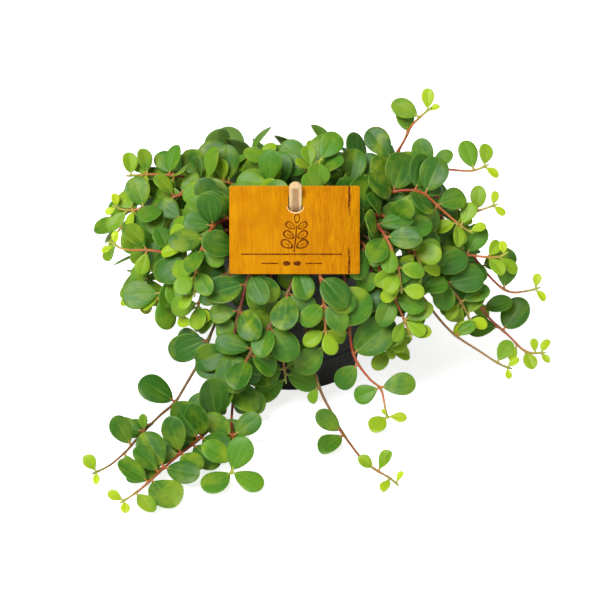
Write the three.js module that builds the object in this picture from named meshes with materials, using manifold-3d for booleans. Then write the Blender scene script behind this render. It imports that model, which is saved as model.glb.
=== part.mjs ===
// Round-leaf peperomia in a nursery pot, with a wooden tag held on a stake in the soil.
// Millimetres, +Z up, the origin at the centre of the pot's underside, the front towards -Y.

import * as THREE from "three";
import { mergeVertices } from "three/addons/utils/BufferGeometryUtils.js";
import Module from "manifold-3d";

const wasm = await Module();
wasm.setup();

// Driving sizes of the made things
const pot = {
  height: 90, rimRadius: 52.5, baseRadius: 37, wall: 1.4, floor: 2.2,
  lipOut: 2, lipDrop: 8, sides: 28, drains: 5, drainRadius: 3, drainRing: 22, drainSides: 8,
};
const soil = { top: 80, gap: 0.3, room: 0.4, sides: 20, holeDepth: 12, holeGap: 0.35, holeSides: 5 };
const tag = {
  width: 69.4, height: 47, thickness: 1.6, corner: 1.2, centre: [2.7, -58.2, 106], leanDeg: 22,
  slotX: 0.5, slotUp: 14.8, slotWidth: 7.4, slotLength: 9.2, slotCorner: 1.8,
};
const stake = {
  width: 6.7, thickness: 1.3, top: 132.4, bottom: 46, pointLong: 4, pointShare: 0.4,
  footY: -41.2, slotY: -52.6, slotZ: 118,
};
const stakeX = tag.centre[0] + tag.slotX;

// Driving sizes of the plant
const stemForm = {
  rootRadius: 1.25, tipRadius: 0.6, step: 3, ringEvery: 6, rootDepth: 11.4, bandHalf: 0.75,
  clearance: 3.3, settleRounds: 24,
};
const leafForm = {
  tip: 10, growth: 0.21, widthShare: 0.84, petiole: 2.6, thickness: 1.3, smallBelow: 12.5,
  flatten: 0.72, lean: 0.42, tries: 9, clearOthers: 3.2, clearOwn: 2, clearOwnStem: 2.3,
  floorClear: 0.9, lowStem: 16, frontFrom: -56, turnStep: 9, threes: 0.3, offWall: 0.35, overTag: 0.32,
  shrink: 0.04, placedShrink: 0.03,
  wideSpread: [0.88, 1.12], longSpread: [0.82, 1.12], leanSpread: [0.4, 1.6],
  bend: [0.02, 0.2], cup: [-0.05, 0.13], firstOnStem: 7, overSoil: 10, overSoilUntil: 14, gap: 4,
  whorlsFromTip: [1, 5, 11, 18, 25, 32, 39, 46, 53, 60, 67, 74, 81],
};

const bladeRows = {
  small: [[0.47, 0.49], [0.84, 0.37]], big: [[0.2, 0.32], [0.56, 0.5], [0.88, 0.33]], middle: 0.56,
};
const facing = {
  spreadFrom: 60, spread: 0.55, front: 0.5, side: 0.35, backFrom: 25, backBy: 75, up: 0.72,
  low: 12, lowUp: 0.5, sway: [0.42, 0.35, 0.28], placedSway: [0.38, 0.28, 0.28],
};
// How far leaves keep from the pot's rim and wall, the soil, the tag and the stake
const keepOff = {
  above: 2.6, wall: 2.4, farthest: 57, rim: 46.5, card: 1.8, cardFace: 2.6, stake: 2.2, stakeFace: 2.8,
  stakeTop: 2,
};
// Where each stem's own seeds start, and how far apart those of its whorls and leaves are
const seeds = {
  whorl: 7000, leaf: 10000, placed: 30000, crown: 0, back: 340,
  perStem: 331, perWhorl: 17, perStemWhorl: 50, perStemPlaced: 100, perRing: 100,
};
// Short shoots over the soil and the stems that arch over the back of the rim
const crown = {
  rings: [{ count: 3, radius: 7, out: 15, height: 42 }, { count: 6, radius: 18, out: 23, height: 33 }],
  turn: [0.85, 0.3], tall: [0.88, 0.24], inFront: 0.6, full: 22, tip: 15,
  stops: [
    { out: 0.15, forward: 1, up: 0.45 },
    { out: 0.55, forward: 4, up: 0.85 },
    { out: 1.25, forward: 9, up: 1 },
  ],
};
const back = {
  count: 10, from: 17, to: 160, rootOut: [41, 31], rise: 15, reach: [92, 108], drop: [[12, 36], [44, 70]],
  sway: 0.14, overRim: 7, overRimUp: 0.75, high: 0.45, falling: 0.78, fallen: 0.42,
  full: 21, tip: 12, bare: 0.12,
};

const colours = {
  pot: 0x151716, soil: 0x3a2a1f, tag: 0xd88a1a, stake: 0xe6cba0,
  leaf: 0x4a8a2c,
};

// Short vector arithmetic on [x, y, z]
const plus = (a, b, k = 1) => [a[0] + k * b[0], a[1] + k * b[1], a[2] + k * b[2]];
const dot = (a, b) => a[0] * b[0] + a[1] * b[1] + a[2] * b[2];
const cross = (a, b) => [a[1] * b[2] - a[2] * b[1], a[2] * b[0] - a[0] * b[2], a[0] * b[1] - a[1] * b[0]];
const size = (a) => Math.sqrt(dot(a, a));
const unit = (a) => a.map((c) => c / size(a));
const mix = (a, b, t) => a + (b - a) * t;
const radians = (degrees) => (degrees * Math.PI) / 180;

// The same numbers from the same seed, on every run
function seeded(seed) {
  let state = Math.imul(seed + 1, 2654435761) >>> 0;
  return () => {
    state = (Math.imul(state, 1664525) + 1013904223) >>> 0;
    return state / 4294967296;
  };
}

// A closed geometry as a solid for joining and cutting
function toSolid(geometry) {
  const bare = geometry.clone();
  bare.deleteAttribute("normal");
  bare.deleteAttribute("uv");
  const merged = mergeVertices(bare, 1e-4);
  const corners = merged.index.array;
  const triangles = [];
  for (let i = 0; i < corners.length; i += 3) {
    const [a, b, c] = corners.slice(i, i + 3);
    if (a !== b && b !== c && c !== a) triangles.push(a, b, c);
  }
  return new wasm.Manifold(new wasm.Mesh({
    numProp: 3,
    vertProperties: new Float32Array(merged.attributes.position.array),
    triVerts: new Uint32Array(triangles),
  }));
}

function toGeometry(body) {
  const mesh = body.getMesh();
  const geometry = new THREE.BufferGeometry();
  geometry.setAttribute("position", new THREE.Float32BufferAttribute(mesh.vertProperties, 3));
  geometry.setIndex(Array.from(mesh.triVerts));
  geometry.computeVertexNormals();
  return geometry;
}

function fromPoints(points, triangles) {
  const geometry = new THREE.BufferGeometry();
  geometry.setAttribute("position", new THREE.Float32BufferAttribute(points.flat(), 3));
  geometry.setIndex(triangles.flat());
  return geometry;
}

// An upright prism with a regular section
function uprightPrism(radius, sides, x, y, low, high) {
  const prism = new THREE.CylinderGeometry(radius, radius, high - low, sides);
  prism.rotateX(Math.PI / 2);
  prism.translate(x, y, (low + high) / 2);
  return prism;
}

// Pot: a tapered tub with a lip round the rim and drain holes in its floor
const outerRadiusAt = (z) => mix(pot.baseRadius, pot.rimRadius, z / pot.height);

function potGeometry() {
  const innerAt = (z) => outerRadiusAt(z) - pot.wall;
  const lipLow = pot.height - pot.lipDrop;
  const profile = [
    [0, 0], [pot.baseRadius, 0], [outerRadiusAt(lipLow), lipLow],
    [pot.rimRadius + pot.lipOut, lipLow], [pot.rimRadius + pot.lipOut, pot.height],
    [innerAt(pot.height), pot.height], [innerAt(pot.floor), pot.floor], [0, pot.floor],
  ].map(([r, z]) => new THREE.Vector2(r, z));
  const tub = new THREE.LatheGeometry(profile, pot.sides);
  tub.rotateX(Math.PI / 2);
  let body = toSolid(tub);
  for (let i = 0; i < pot.drains; i += 1) {
    const angle = (2 * Math.PI * i) / pot.drains;
    const [x, y] = [pot.drainRing * Math.cos(angle), pot.drainRing * Math.sin(angle)];
    body = body.subtract(toSolid(uprightPrism(pot.drainRadius, pot.drainSides, x, y, -1, pot.floor + 1)));
  }
  return toGeometry(body);
}

// Soil: it fills the pot to below the rim, with a plain hole for each stem and one for the stake
function soilGeometry(stems, stakeHole) {
  const low = pot.floor + soil.gap;
  const room = pot.wall + soil.gap + soil.room;
  const profile = [
    [0, low], [outerRadiusAt(low) - room, low], [outerRadiusAt(soil.top) - room, soil.top], [0, soil.top],
  ].map(([r, z]) => new THREE.Vector2(r, z));
  const fill = new THREE.LatheGeometry(profile, soil.sides);
  fill.rotateX(Math.PI / 2);
  let body = toSolid(fill);
  const holeRadius = (stemForm.rootRadius + soil.holeGap) / Math.cos(Math.PI / soil.holeSides);
  for (const stem of stems) {
    const [x, y] = stem.root;
    const hole = uprightPrism(holeRadius, soil.holeSides, x, y, soil.top - soil.holeDepth, soil.top + 1);
    body = body.subtract(toSolid(hole));
  }
  return toGeometry(body.subtract(stakeHole));
}

// Tag: a card with a slot near its top edge, leaning back from its lower edge
function tagPlace() {
  const group = new THREE.Group();
  group.position.set(...tag.centre);
  group.rotation.x = -radians(tag.leanDeg);
  group.updateMatrixWorld(true);
  return group;
}

function roundedBox(path, halfWide, halfHigh, corner, x = 0, y = 0) {
  path.absarc(x + halfWide - corner, y + halfHigh - corner, corner, 0, Math.PI / 2);
  path.absarc(x - halfWide + corner, y + halfHigh - corner, corner, Math.PI / 2, Math.PI);
  path.absarc(x - halfWide + corner, y - halfHigh + corner, corner, Math.PI, 1.5 * Math.PI);
  path.absarc(x + halfWide - corner, y - halfHigh + corner, corner, 1.5 * Math.PI, 2 * Math.PI);
  path.closePath();
}

function tagGeometry() {
  const card = new THREE.Shape();
  roundedBox(card, tag.width / 2, tag.height / 2, tag.corner);
  const slot = new THREE.Path();
  roundedBox(slot, tag.slotWidth / 2, tag.slotLength / 2, tag.slotCorner, tag.slotX, tag.slotUp);
  card.holes.push(slot);
  const settings = { depth: tag.thickness, bevelEnabled: false, curveSegments: 3 };
  const geometry = new THREE.ExtrudeGeometry(card, settings);
  geometry.translate(0, 0, -tag.thickness / 2);
  geometry.rotateX(Math.PI / 2);
  return geometry;
}

// Stake: a flat stick with a round top, through the tag's slot and down into the soil
const stakeRise = Math.atan2(stake.slotY - stake.footY, stake.slotZ - stake.bottom);

function stakeShape(grow) {
  const half = stake.width / 2 + grow;
  const long = (stake.top - stake.bottom) / Math.cos(stakeRise);
  const outline = new THREE.Shape();
  outline.moveTo(-half, stake.pointLong);
  outline.lineTo(-half * stake.pointShare, -grow);
  outline.lineTo(half * stake.pointShare, -grow);
  outline.lineTo(half, stake.pointLong);
  outline.absarc(0, long - stake.width / 2, half, 0, Math.PI);
  outline.closePath();
  const depth = stake.thickness + 2 * grow;
  const geometry = new THREE.ExtrudeGeometry(outline, { depth, bevelEnabled: false, curveSegments: 6 });
  geometry.translate(0, 0, -depth / 2);
  geometry.rotateX(Math.PI / 2);
  geometry.rotateX(-stakeRise);
  geometry.translate(stakeX, stake.footY, stake.bottom);
  return geometry;
}

// Stems placed by hand: where each leaves the soil and the points that it passes.
// Their placed leaves are given by the place along those points, the direction as seen from the front
// (degrees, 0 to the right and 90 up) and the length. One that finds no room beside the others is left out
const handStems = {
  tallShoot: {
    root: [25, 6], full: 16, bare: 0.6,
    via: [[31, 8, 98], [43, 9, 108], [54, 10, 115], [62, 8, 129], [67, 7, 140], [77, 5, 151]],
    placed: [[4.8, 62, 11], [4.3, 150, 14], [3.4, 70, 15], [2.3, 128, 18], [2.1, 200, 17],
      [2.6, 330, 14], [4.9, 20, 5]],
  },
  upperRight: {
    root: [22, -6], full: 18, bare: 0.6,
    via: [[28, -7, 98], [42, -8, 110], [58, -8, 116], [80, -6, 119], [99, 0, 115.5], [109, 1, 119]],
    placed: [[4.8, 75, 10], [4.6, 345, 8], [4.1, 108, 14], [2.9, 28, 12], [2.75, 96, 15],
      [2.45, 142, 18], [2.2, 250, 17]],
  },
  darkRedRight: {
    root: [30, -14], full: 19,
    via: [[38, -19, 99], [53, -23, 112], [70, -25, 114], [81, -26, 105], [93, -26, 94], [100, -25, 89]],
    placed: [[4.9, 20, 7], [4.6, 75, 9], [4, 62, 11], [3.8, 200, 9], [4.1, 285, 8], [2.3, 68, 18],
      [1.9, 250, 19], [1.1, 255, 19]],
  },
  midRight: {
    root: [35, -1], full: 18,
    via: [[44, -2, 98], [66, -3, 106], [91, -5, 97], [99, -5, 93], [114, -5, 98]],
    placed: [[3.9, 50, 7], [3.8, 325, 6], [3.4, 20, 9], [3.2, 60, 13], [2.9, 150, 14], [2.6, 118, 13],
      [2.2, 290, 15]],
  },
  lowRight: {
    root: [37, -17], full: 20,
    via: [[46, -22, 97], [64, -26, 95], [82, -26, 81], [97, -26, 77], [113, -25, 75], [119, -24, 78]],
    placed: [[4.8, 60, 7], [4.2, 325, 10], [4, 85, 11], [3, 62, 15], [2.6, 338, 20], [2.2, 240, 19],
      [1.3, 332, 19], [1.2, 80, 15]],
  },
  hangRight: {
    root: [34, -26], full: 19,
    via: [[42, -33, 97], [58, -40, 92], [76, -40, 75], [89, -37, 60], [96, -36, 48], [99, -36, 40]],
    placed: [[4.9, 340, 8], [4.4, 62, 13], [4.6, 225, 9], [3.6, 25, 14], [3.5, 230, 9], [2.6, 12, 18],
      [2.5, 240, 17], [1.5, 250, 19]],
  },
  longRight: {
    root: [27, -32], full: 18, bare: 0.6,
    via: [[34, -41, 97], [48, -50, 93], [62, -50, 76], [73, -47, 60], [81, -46, 48], [90, -46, 38],
      [103, -49, 30], [114, -53, 24], [121, -55, 22]],
    placed: [[7.8, 30, 6], [7.7, 300, 5], [7.1, 292, 9], [6.9, 58, 11], [4.9, 68, 13], [5.1, 8, 13],
      [3.3, 230, 13], [2.6, 38, 17], [2.4, 225, 16], [1.3, 250, 19]],
  },
  farRight: {
    root: [40, -8], full: 18, bare: 0.6,
    via: [[49, -11, 97], [68, -15, 95], [90, -17, 66], [107, -16, 38], [121, -15, 23], [131, -15, 13],
      [142, -16, 13]],
    placed: [[5.8, 40, 7], [5.7, 318, 6], [5.4, 70, 7], [5, 295, 9], [4.6, 245, 7], [3.8, 55, 18],
      [3.4, 355, 19], [3.6, 152, 17], [2.9, 25, 15], [2.8, 205, 16]],
  },
  farRightUpper: {
    root: [41, 3], full: 19, bare: 0.6,
    via: [[50, 3, 98], [72, 0, 98], [93, -5, 78], [108, -10, 59], [120, -13, 49], [132, -14, 50],
      [138, -14, 52]],
    placed: [[5.8, 45, 8], [5.6, 310, 6], [3.9, 90, 14], [4.2, 298, 13], [2.8, 350, 20], [3.3, 205, 15],
      [2.2, 225, 18]],
  },
  frontRight: {
    root: [22, -37], full: 20, bare: 1,
    via: [[24, -44, 96], [27, -57, 92], [31, -60, 66], [34, -67, 38], [43, -71, 24], [49, -72, 19],
      [51, -75, 12], [52, -80, 8], [53, -86, 7]],
    placed: [[7.9, 355, 8], [7.6, 262, 14], [7.3, 160, 4], [5, 10, 16], [5.1, 205, 12],
      [3, 43, 25], [3.4, 240, 15], [2.6, 172, 16], [2.2, 30, 17]],
  },
  frontCentre: {
    root: [14, -34], full: 19, bare: 1,
    via: [[15, -43, 96], [12, -57, 90], [8, -58, 68], [9, -58, 46], [14, -69, 25], [18, -72, 14],
      [22, -77, 8], [25, -88, 6.5], [28, -100, 6.5], [33, -115, 6], [39, -132, 6], [45, -142, 6],
      [52, -150, 5.5], [57, -158, 5]],
    placed: [[12.8, 60, 5], [12.2, 250, 8], [11.2, 62, 10], [10.9, 140, 8], [8, 138, 14], [8.1, 208, 17],
      [4.3, 316, 19], [4.5, 262, 9], [3, 60, 17]],
  },
  frontLeftLong: {
    root: [-15, -35], full: 18, bare: 0.2,
    via: [[-19, -43, 96], [-29, -55, 92], [-35, -60, 72], [-38, -61, 58], [-43, -62, 45],
      [-48, -65, 33], [-57, -70, 18], [-62, -74, 11], [-69, -85, 9.5], [-75, -97, 8.5],
      [-81, -112, 8.5], [-86, -126, 8.5], [-94, -141, 8], [-103, -149, 7]],
    placed: [[12.8, 120, 8], [12.9, 235, 6.5], [11.2, 262, 13], [10.6, 119, 15], [9.4, 172, 15],
      [9.3, 95, 7], [8.7, 235, 16], [7, 143, 19], [6.5, 205, 13], [4.2, 203, 17], [4.4, 283, 18]],
  },
  frontLeft: {
    root: [-8, -40], full: 20,
    via: [[-10, -47, 97], [-18, -58, 92], [-26, -66, 66], [-31, -72, 42], [-34, -77, 24],
      [-38, -86, 10], [-42, -99, 9], [-49, -114, 8.5], [-58, -130, 8.5], [-66, -146, 8.5],
      [-73, -161, 8.5], [-77, -168, 8], [-82, -175, 7.5], [-87, -180, 6.5]],
    placed: [[12.7, 150, 7], [12.5, 262, 6], [11.3, 300, 13], [9.9, 143, 16], [9.8, 306, 20],
      [9.2, 130, 15], [7, 120, 20], [7.1, 232, 20], [7.2, 300, 19], [6.4, 165, 14], [5.1, 74, 19],
      [4.6, 200, 18]],
  },
  frontNear: {
    root: [10, -38], full: 19,
    via: [[10, -46, 96], [6, -57, 92], [1, -63, 76], [-10, -72, 57.5], [-20, -78, 44.5],
      [-27, -80, 30], [-30, -80, 19.5], [-31, -82, 9], [-31, -97, 9], [-30, -110, 8.5],
      [-30, -130, 8.5], [-30, -150, 7]],
    placed: [[10.9, 70, 17], [10.9, 232, 18], [10.4, 142, 15], [10.8, 312, 17], [8.8, 40, 15],
      [8.6, 188, 17], [6, 211, 19], [6.1, 342, 15], [4, 165, 17], [4.1, 58, 14], [4.2, 322, 14]],
  },
  underTagLeft: {
    root: [-11, -27], full: 22, bare: 0.8,
    via: [[-12, -40, 103], [-10, -56, 97], [-10, -59, 78], [-8, -59, 58], [-5, -60, 40], [-3, -61, 26],
      [-2, -61, 16]],
    placed: [[5.9, 215, 17], [5.5, 342, 16], [5.1, 188, 19], [5, 20, 20], [4.6, 290, 20], [4, 150, 18],
      [3.6, 30, 18]],
  },
  underTagRight: {
    root: [3, -26], full: 22,
    via: [[8, -40, 103], [12, -56, 98], [16, -65, 84], [18, -69, 71], [19, -70, 61], [19, -71, 50],
      [18, -70, 41]],
    placed: [[5.8, 228, 18], [5.8, 322, 17], [4.1, 120, 23], [4.2, 28, 24], [4, 216, 22], [4.1, 302, 22],
      [2.6, 75, 19]],
  },
  centreRight: {
    root: [18, -24], full: 22,
    via: [[26, -38, 98], [41, -56, 95], [52, -60, 76], [61, -61, 56], [66, -62, 43]],
    placed: [[3.9, 12, 9], [3.8, 195, 12], [3.1, 118, 15], [3.1, 30, 14], [3.2, 215, 14], [2.25, 50, 17],
      [2.3, 184, 24], [2.3, 262, 19]],
  },
  centreLow: {
    root: [12, -27], full: 22,
    via: [[21, -41, 98], [36, -54, 95], [45, -54, 78], [50, -54, 60], [53, -54, 44], [55, -55, 30]],
  },
  besideTagRight: {
    root: [29, -22], full: 22,
    via: [[37, -28, 100], [50, -37, 105], [60, -45, 100], [68, -50, 88], [72, -52, 78]],
  },
  besideTagLeft: {
    root: [-27, -15], full: 22,
    via: [[-32, -22, 100], [-41, -33, 105], [-50, -40, 99], [-58, -43, 86]],
  },
  tagEdgeLeft: {
    root: [-21, -23], full: 22,
    via: [[-29, -35, 102], [-40, -47, 104], [-46, -57, 97], [-50, -63, 84], [-51, -66, 70]],
  },
  tagEdgeRight: {
    root: [22, -15], full: 22,
    via: [[32, -33, 103], [45, -46, 105], [53, -57, 98], [58, -63, 86], [60, -66, 72]],
  },
  leftLower: {
    root: [-20, -38], full: 22,
    via: [[-28, -44, 96], [-38, -52, 90], [-46, -57, 72], [-50, -58, 58], [-52, -58, 48]],
  },
  leftTip: {
    root: [-34, -1], full: 18,
    via: [[-43, -2, 98], [-58, -5, 104], [-73, -8, 98], [-89, -9, 96], [-97, -9, 99]],
    placed: [[3.9, 110, 6], [3.6, 205, 5], [2.9, 198, 14], [2.8, 300, 17], [2.5, 108, 15],
      [1.3, 150, 14], [1.4, 42, 13], [1.5, 232, 9], [1.1, 15, 15]],
  },
  leftRed: {
    root: [-30, -23], full: 19,
    via: [[-38, -29, 97], [-54, -33, 87], [-64, -32, 81], [-76, -31, 82], [-90, -30, 82], [-97, -29, 86]],
    placed: [[4.8, 100, 6], [4.7, 205, 6], [3.9, 117, 15], [3.1, 148, 17], [2, 52, 19], [2.2, 113, 12],
      [1.9, 243, 15], [3, 290, 14]],
  },
  leftLow: {
    root: [-26, -30], full: 19,
    via: [[-34, -38, 97], [-50, -45, 89], [-65, -43, 71], [-72, -42, 57], [-79, -42, 50]],
    placed: [[3.9, 118, 9], [3.9, 198, 11], [3.6, 205, 12], [2.7, 165, 20], [2.9, 290, 15], [2, 235, 17],
      [1.9, 60, 18]],
  },
  leftUpper: {
    root: [-27, 10], full: 19,
    via: [[-36, 10, 99], [-54, 10, 107], [-75, 8, 110], [-90, 6, 110]],
    placed: [[2.9, 190, 11], [2.8, 96, 10], [2.3, 118, 13], [2.5, 250, 15], [1.6, 75, 14], [1.5, 250, 15]],
  },
  leftSide: {
    root: [-36, -12], full: 20,
    via: [[-45, -15, 98], [-61, -19, 92], [-76, -21, 68], [-84, -22, 48]],
    placed: [[2.9, 215, 9], [2.8, 290, 9], [2.4, 236, 15], [2.3, 300, 15], [1.6, 200, 18]],
  },
  topShoot: {
    root: [8, 9], full: 18,
    via: [[8, 10, 99], [9, 12, 108], [10, 14, 117]],
    placed: [[1.9, 55, 20], [1.8, 150, 16], [1.2, 100, 15]],
  },
};

const letters = "abcdefghij";

// Short upright shoots over the soil, set on two rings
function crownStems() {
  const stems = {};
  crown.rings.forEach((ring, r) => {
    for (let i = 0; i < ring.count; i += 1) {
      const random = seeded(seeds.crown + seeds.perRing * r + i);
      const angle = (2 * Math.PI * (i + crown.turn[0] + crown.turn[1] * random())) / ring.count;
      const [c, s] = [Math.cos(angle), Math.sin(angle)];
      const tall = ring.height * (crown.tall[0] + crown.tall[1] * random());
      stems[`crown${r + 1}${letters[i]}`] = {
        root: [ring.radius * c, ring.radius * s],
        via: crown.stops.map((stop) => {
          const out = ring.radius + ring.out * stop.out * (s < 0 ? crown.inFront : 1);
          return [out * c, out * s - stop.forward, soil.top + stop.up * tall];
        }),
        full: crown.full, tip: crown.tip,
      };
    }
  });
  return stems;
}

// Stems that arch over the back of the rim and hang to either side and behind
function backStems() {
  const stems = {};
  for (let i = 0; i < back.count; i += 1) {
    const random = seeded(seeds.back + i);
    const angle = radians(mix(back.from, back.to, i / (back.count - 1)));
    const [c, s] = [Math.cos(angle), Math.sin(angle)];
    const rootOut = back.rootOut[i % 2];
    const reach = mix(...back.reach, random());
    const drop = mix(...back.drop[i % 2], random());
    const top = soil.top + back.rise;
    const at = (out, z, turn = 0) => [
      out * (c * Math.cos(turn) - s * Math.sin(turn)), out * (s * Math.cos(turn) + c * Math.sin(turn)), z,
    ];
    const sway = mix(-back.sway, back.sway, random());
    stems[`back${letters[i]}`] = {
      root: at(rootOut, 0).slice(0, 2),
      via: [
        at(rootOut + back.overRim, soil.top + back.overRimUp * back.rise),
        at(mix(rootOut, reach, back.high), top),
        at(mix(rootOut, reach, back.falling), mix(top, drop, back.fallen), sway / 2),
        at(reach, drop, sway),
      ],
      full: back.full, tip: back.tip, bare: back.bare,
    };
  }
  return stems;
}

// A smooth line through the points, as points at even steps
function smoothLine(points, step) {
  const ends = [plus(points[0], plus(points[1], points[0], -1), -1)];
  const last = points[points.length - 1];
  const line = [...ends, ...points, plus(last, plus(last, points[points.length - 2], -1))];
  const dense = [];
  for (let i = 1; i < line.length - 2; i += 1) {
    for (let j = 0; j < 8; j += 1) {
      const t = j / 8;
      dense.push([0, 1, 2].map((k) => {
        const [a, b, c, d] = [line[i - 1][k], line[i][k], line[i + 1][k], line[i + 2][k]];
        const square = 2 * a - 5 * b + 4 * c - d;
        const cube = 3 * b - a - 3 * c + d;
        return 0.5 * (2 * b + (c - a) * t + square * t * t + cube * t * t * t);
      }));
    }
  }
  dense.push(last);
  const along = [0];
  for (let i = 1; i < dense.length; i += 1) along.push(along[i - 1] + size(plus(dense[i], dense[i - 1], -1)));
  const total = along[along.length - 1];
  const count = Math.round(total / step);
  const even = [];
  let at = 0;
  for (let i = 0; i <= count; i += 1) {
    const want = (total * i) / count;
    while (at < along.length - 2 && along[at + 1] < want) at += 1;
    const share = (want - along[at]) / (along[at + 1] - along[at]);
    even.push(dense[at].map((value, k) => mix(value, dense[at + 1][k], share)));
  }
  return even;
}

function stemLine(stem) {
  const [x, y] = stem.root;
  const start = [[x, y, soil.top - stemForm.rootDepth], [x, y, soil.top + 4]];
  return smoothLine([...start, ...stem.via], stemForm.step);
}

// Neighbouring stems push each other aside until they lie clear
function settleApart(lines) {
  for (let round = 0; round < stemForm.settleRounds; round += 1) {
    const moves = lines.map((line) => line.map(() => [0, 0, 0]));
    for (let i = 0; i < lines.length; i += 1) {
      for (let j = i + 1; j < lines.length; j += 1) {
        lines[i].forEach((a, m) => {
          lines[j].forEach((b, n) => {
            const apart = plus(a, b, -1);
            const far = size(apart);
            if (far < stemForm.clearance) {
              const push = (0.5 * (stemForm.clearance - far)) / far;
              moves[i][m] = plus(moves[i][m], apart, push);
              moves[j][n] = plus(moves[j][n], apart, -push);
            }
          });
        });
      }
    }
    lines.forEach((line, i) => line.forEach((point, m) => {
      if (m < 6) return;
      const before = moves[i][m - 1];
      const after = moves[i][Math.min(m + 1, line.length - 1)];
      const moved = plus(plus(plus(point, moves[i][m], 0.5), before, 0.25), after, 0.25);
      line[m] = [moved[0], moved[1], Math.max(moved[2], Math.min(point[2], 2.4))];
    }));
  }
}

const stemRadiusAt = (share) => mix(stemForm.rootRadius, stemForm.tipRadius, share);

// The direction of a stem and two sideways directions at each of its points
function stemFrames(line) {
  let side = [1, 0, 0];
  return line.map((point, i) => {
    const ahead = unit(plus(line[Math.min(i + 1, line.length - 1)], line[Math.max(i - 1, 0)], -1));
    side = unit(plus(side, ahead, -dot(side, ahead)));
    return { ahead, side, across: cross(ahead, side) };
  });
}

// One leafy stem as one closed body: a square stem, its petioles drawn out of its own faces
function leafyStemGeometry(stem) {
  const points = [];
  const triangles = [];
  const { line } = stem;
  const last = line.length - 1;
  const rings = [];
  const addRing = (centre, frame, radius, twist) => {
    rings.push(points.length);
    for (let j = 0; j < 4; j += 1) {
      const angle = twist + (Math.PI / 2) * j;
      const out = plus(frame.side.map((c) => c * Math.cos(angle)), frame.across, Math.sin(angle));
      points.push(plus(centre, out, radius));
    }
  };
  const wall = (low, high, face, leaf) => {
    const next = (face + 1) % 4;
    const corners = [low + face, low + next, high + next, high + face];
    if (leaf) addLeaf(leaf, corners, points, triangles);
    else triangles.push([corners[0], corners[1], corners[2]], [corners[0], corners[2], corners[3]]);
  };
  const joinRings = (leaves) => {
    const [low, high] = rings.slice(-2);
    for (let face = 0; face < 4; face += 1) wall(low, high, face, leaves && leaves[face]);
  };

  addRing(line[0], stem.frames[0], stemForm.rootRadius, 0);
  triangles.push([0, 2, 1], [0, 3, 2]);
  const stops = stemStops(stem);
  for (const { at, whorl } of stops) {
    const radius = stemRadiusAt(at / last);
    const frame = stem.frames[at];
    const half = whorl ? stemForm.bandHalf * radius : 0;
    addRing(plus(line[at], frame.ahead, -half), frame, radius, whorl ? whorl.twist : 0);
    joinRings(null);
    if (whorl) {
      addRing(plus(line[at], frame.ahead, half), frame, radius, whorl.twist);
      joinRings(whorl.leaves);
    }
  }
  const top = rings[rings.length - 1];
  triangles.push([top, top + 1, top + 2], [top, top + 2, top + 3]);
  return fromPoints(points, triangles);
}

// Where the stem has its rings: at its whorls, above the soil, between far whorls and at its tip
function stemStops(stem) {
  const last = stem.line.length - 1;
  const stops = [{ at: 5 }];
  for (const whorl of [...stem.whorls].reverse()) {
    while (whorl.at - stops[stops.length - 1].at > stemForm.ringEvery) {
      stops.push({ at: stops[stops.length - 1].at + stemForm.ringEvery - 1 });
    }
    if (stops[stops.length - 1].at >= whorl.at - 1 && !stops[stops.length - 1].whorl) stops.pop();
    stops.push({ at: whorl.at, whorl });
  }
  if (stops[stops.length - 1].at < last - 1) stops.push({ at: last });
  return stops;
}

// One blade: a thin round-obovate lens on a short petiole, which starts at four corners of the stem
function addLeaf(leaf, corners, points, triangles) {
  const { long, wide, petiole } = leaf;
  const small = long < leafForm.smallBelow;
  const rows = small ? bladeRows.small : bladeRows.big;
  const neck = leaf.neck;
  const thick = leafForm.thickness / 2;
  const place = (x, y, z) => {
    const share = Math.max(0, x - petiole) / long;
    const bend = -leaf.bend * long * share * share + leaf.cup * wide * ((2 * y) / wide) ** 2;
    points.push([0, 1, 2].map((k) => (
      leaf.at[k] + x * leaf.out[k] + y * leaf.side[k] + (z + bend) * leaf.face[k]
    )));
    return points.length - 1;
  };
  const section = [place(petiole, neck, 0), place(petiole, 0, neck * 0.8), place(petiole, -neck, 0),
    place(petiole, 0, -neck * 0.8)];
  const apart = (turn) => corners.reduce((sum, corner, i) => (
    sum + size(plus(points[corner], points[section[(i + turn) % 4]], -1))
  ), 0);
  const order = [0, 1, 2, 3].sort((a, b) => apart(a) - apart(b))[0];
  for (let i = 0; i < 4; i += 1) {
    const [p, q] = [corners[i], corners[(i + 1) % 4]];
    const [r, t] = [section[(i + 1 + order) % 4], section[(i + order) % 4]];
    triangles.push([p, q, r], [p, r, t]);
  }
  const left = [section[0]];
  const right = [section[2]];
  for (const [x, y] of rows) {
    left.push(place(petiole + x * long, y * wide, 0));
    right.push(place(petiole + x * long, -y * wide, 0));
  }
  const tip = place(petiole + long, 0, 0);
  left.push(tip);
  right.push(tip);
  const middle = petiole + bladeRows.middle * long;
  const top = place(middle, 0, thick);
  const under = place(middle, 0, -thick);
  const half = (edge, near, far, flip) => {
    const faces = [[edge[0], edge[1], near], [edge[1], far, near]];
    for (let i = 1; i < edge.length - 1; i += 1) faces.push([edge[i], edge[i + 1], far]);
    triangles.push(...(flip ? faces.map(([a, b, c]) => [a, c, b]) : faces));
  };
  half(left, section[1], top, true);
  half(right, section[1], top, false);
  half(left, section[3], under, false);
  half(right, section[3], under, true);
}

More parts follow.
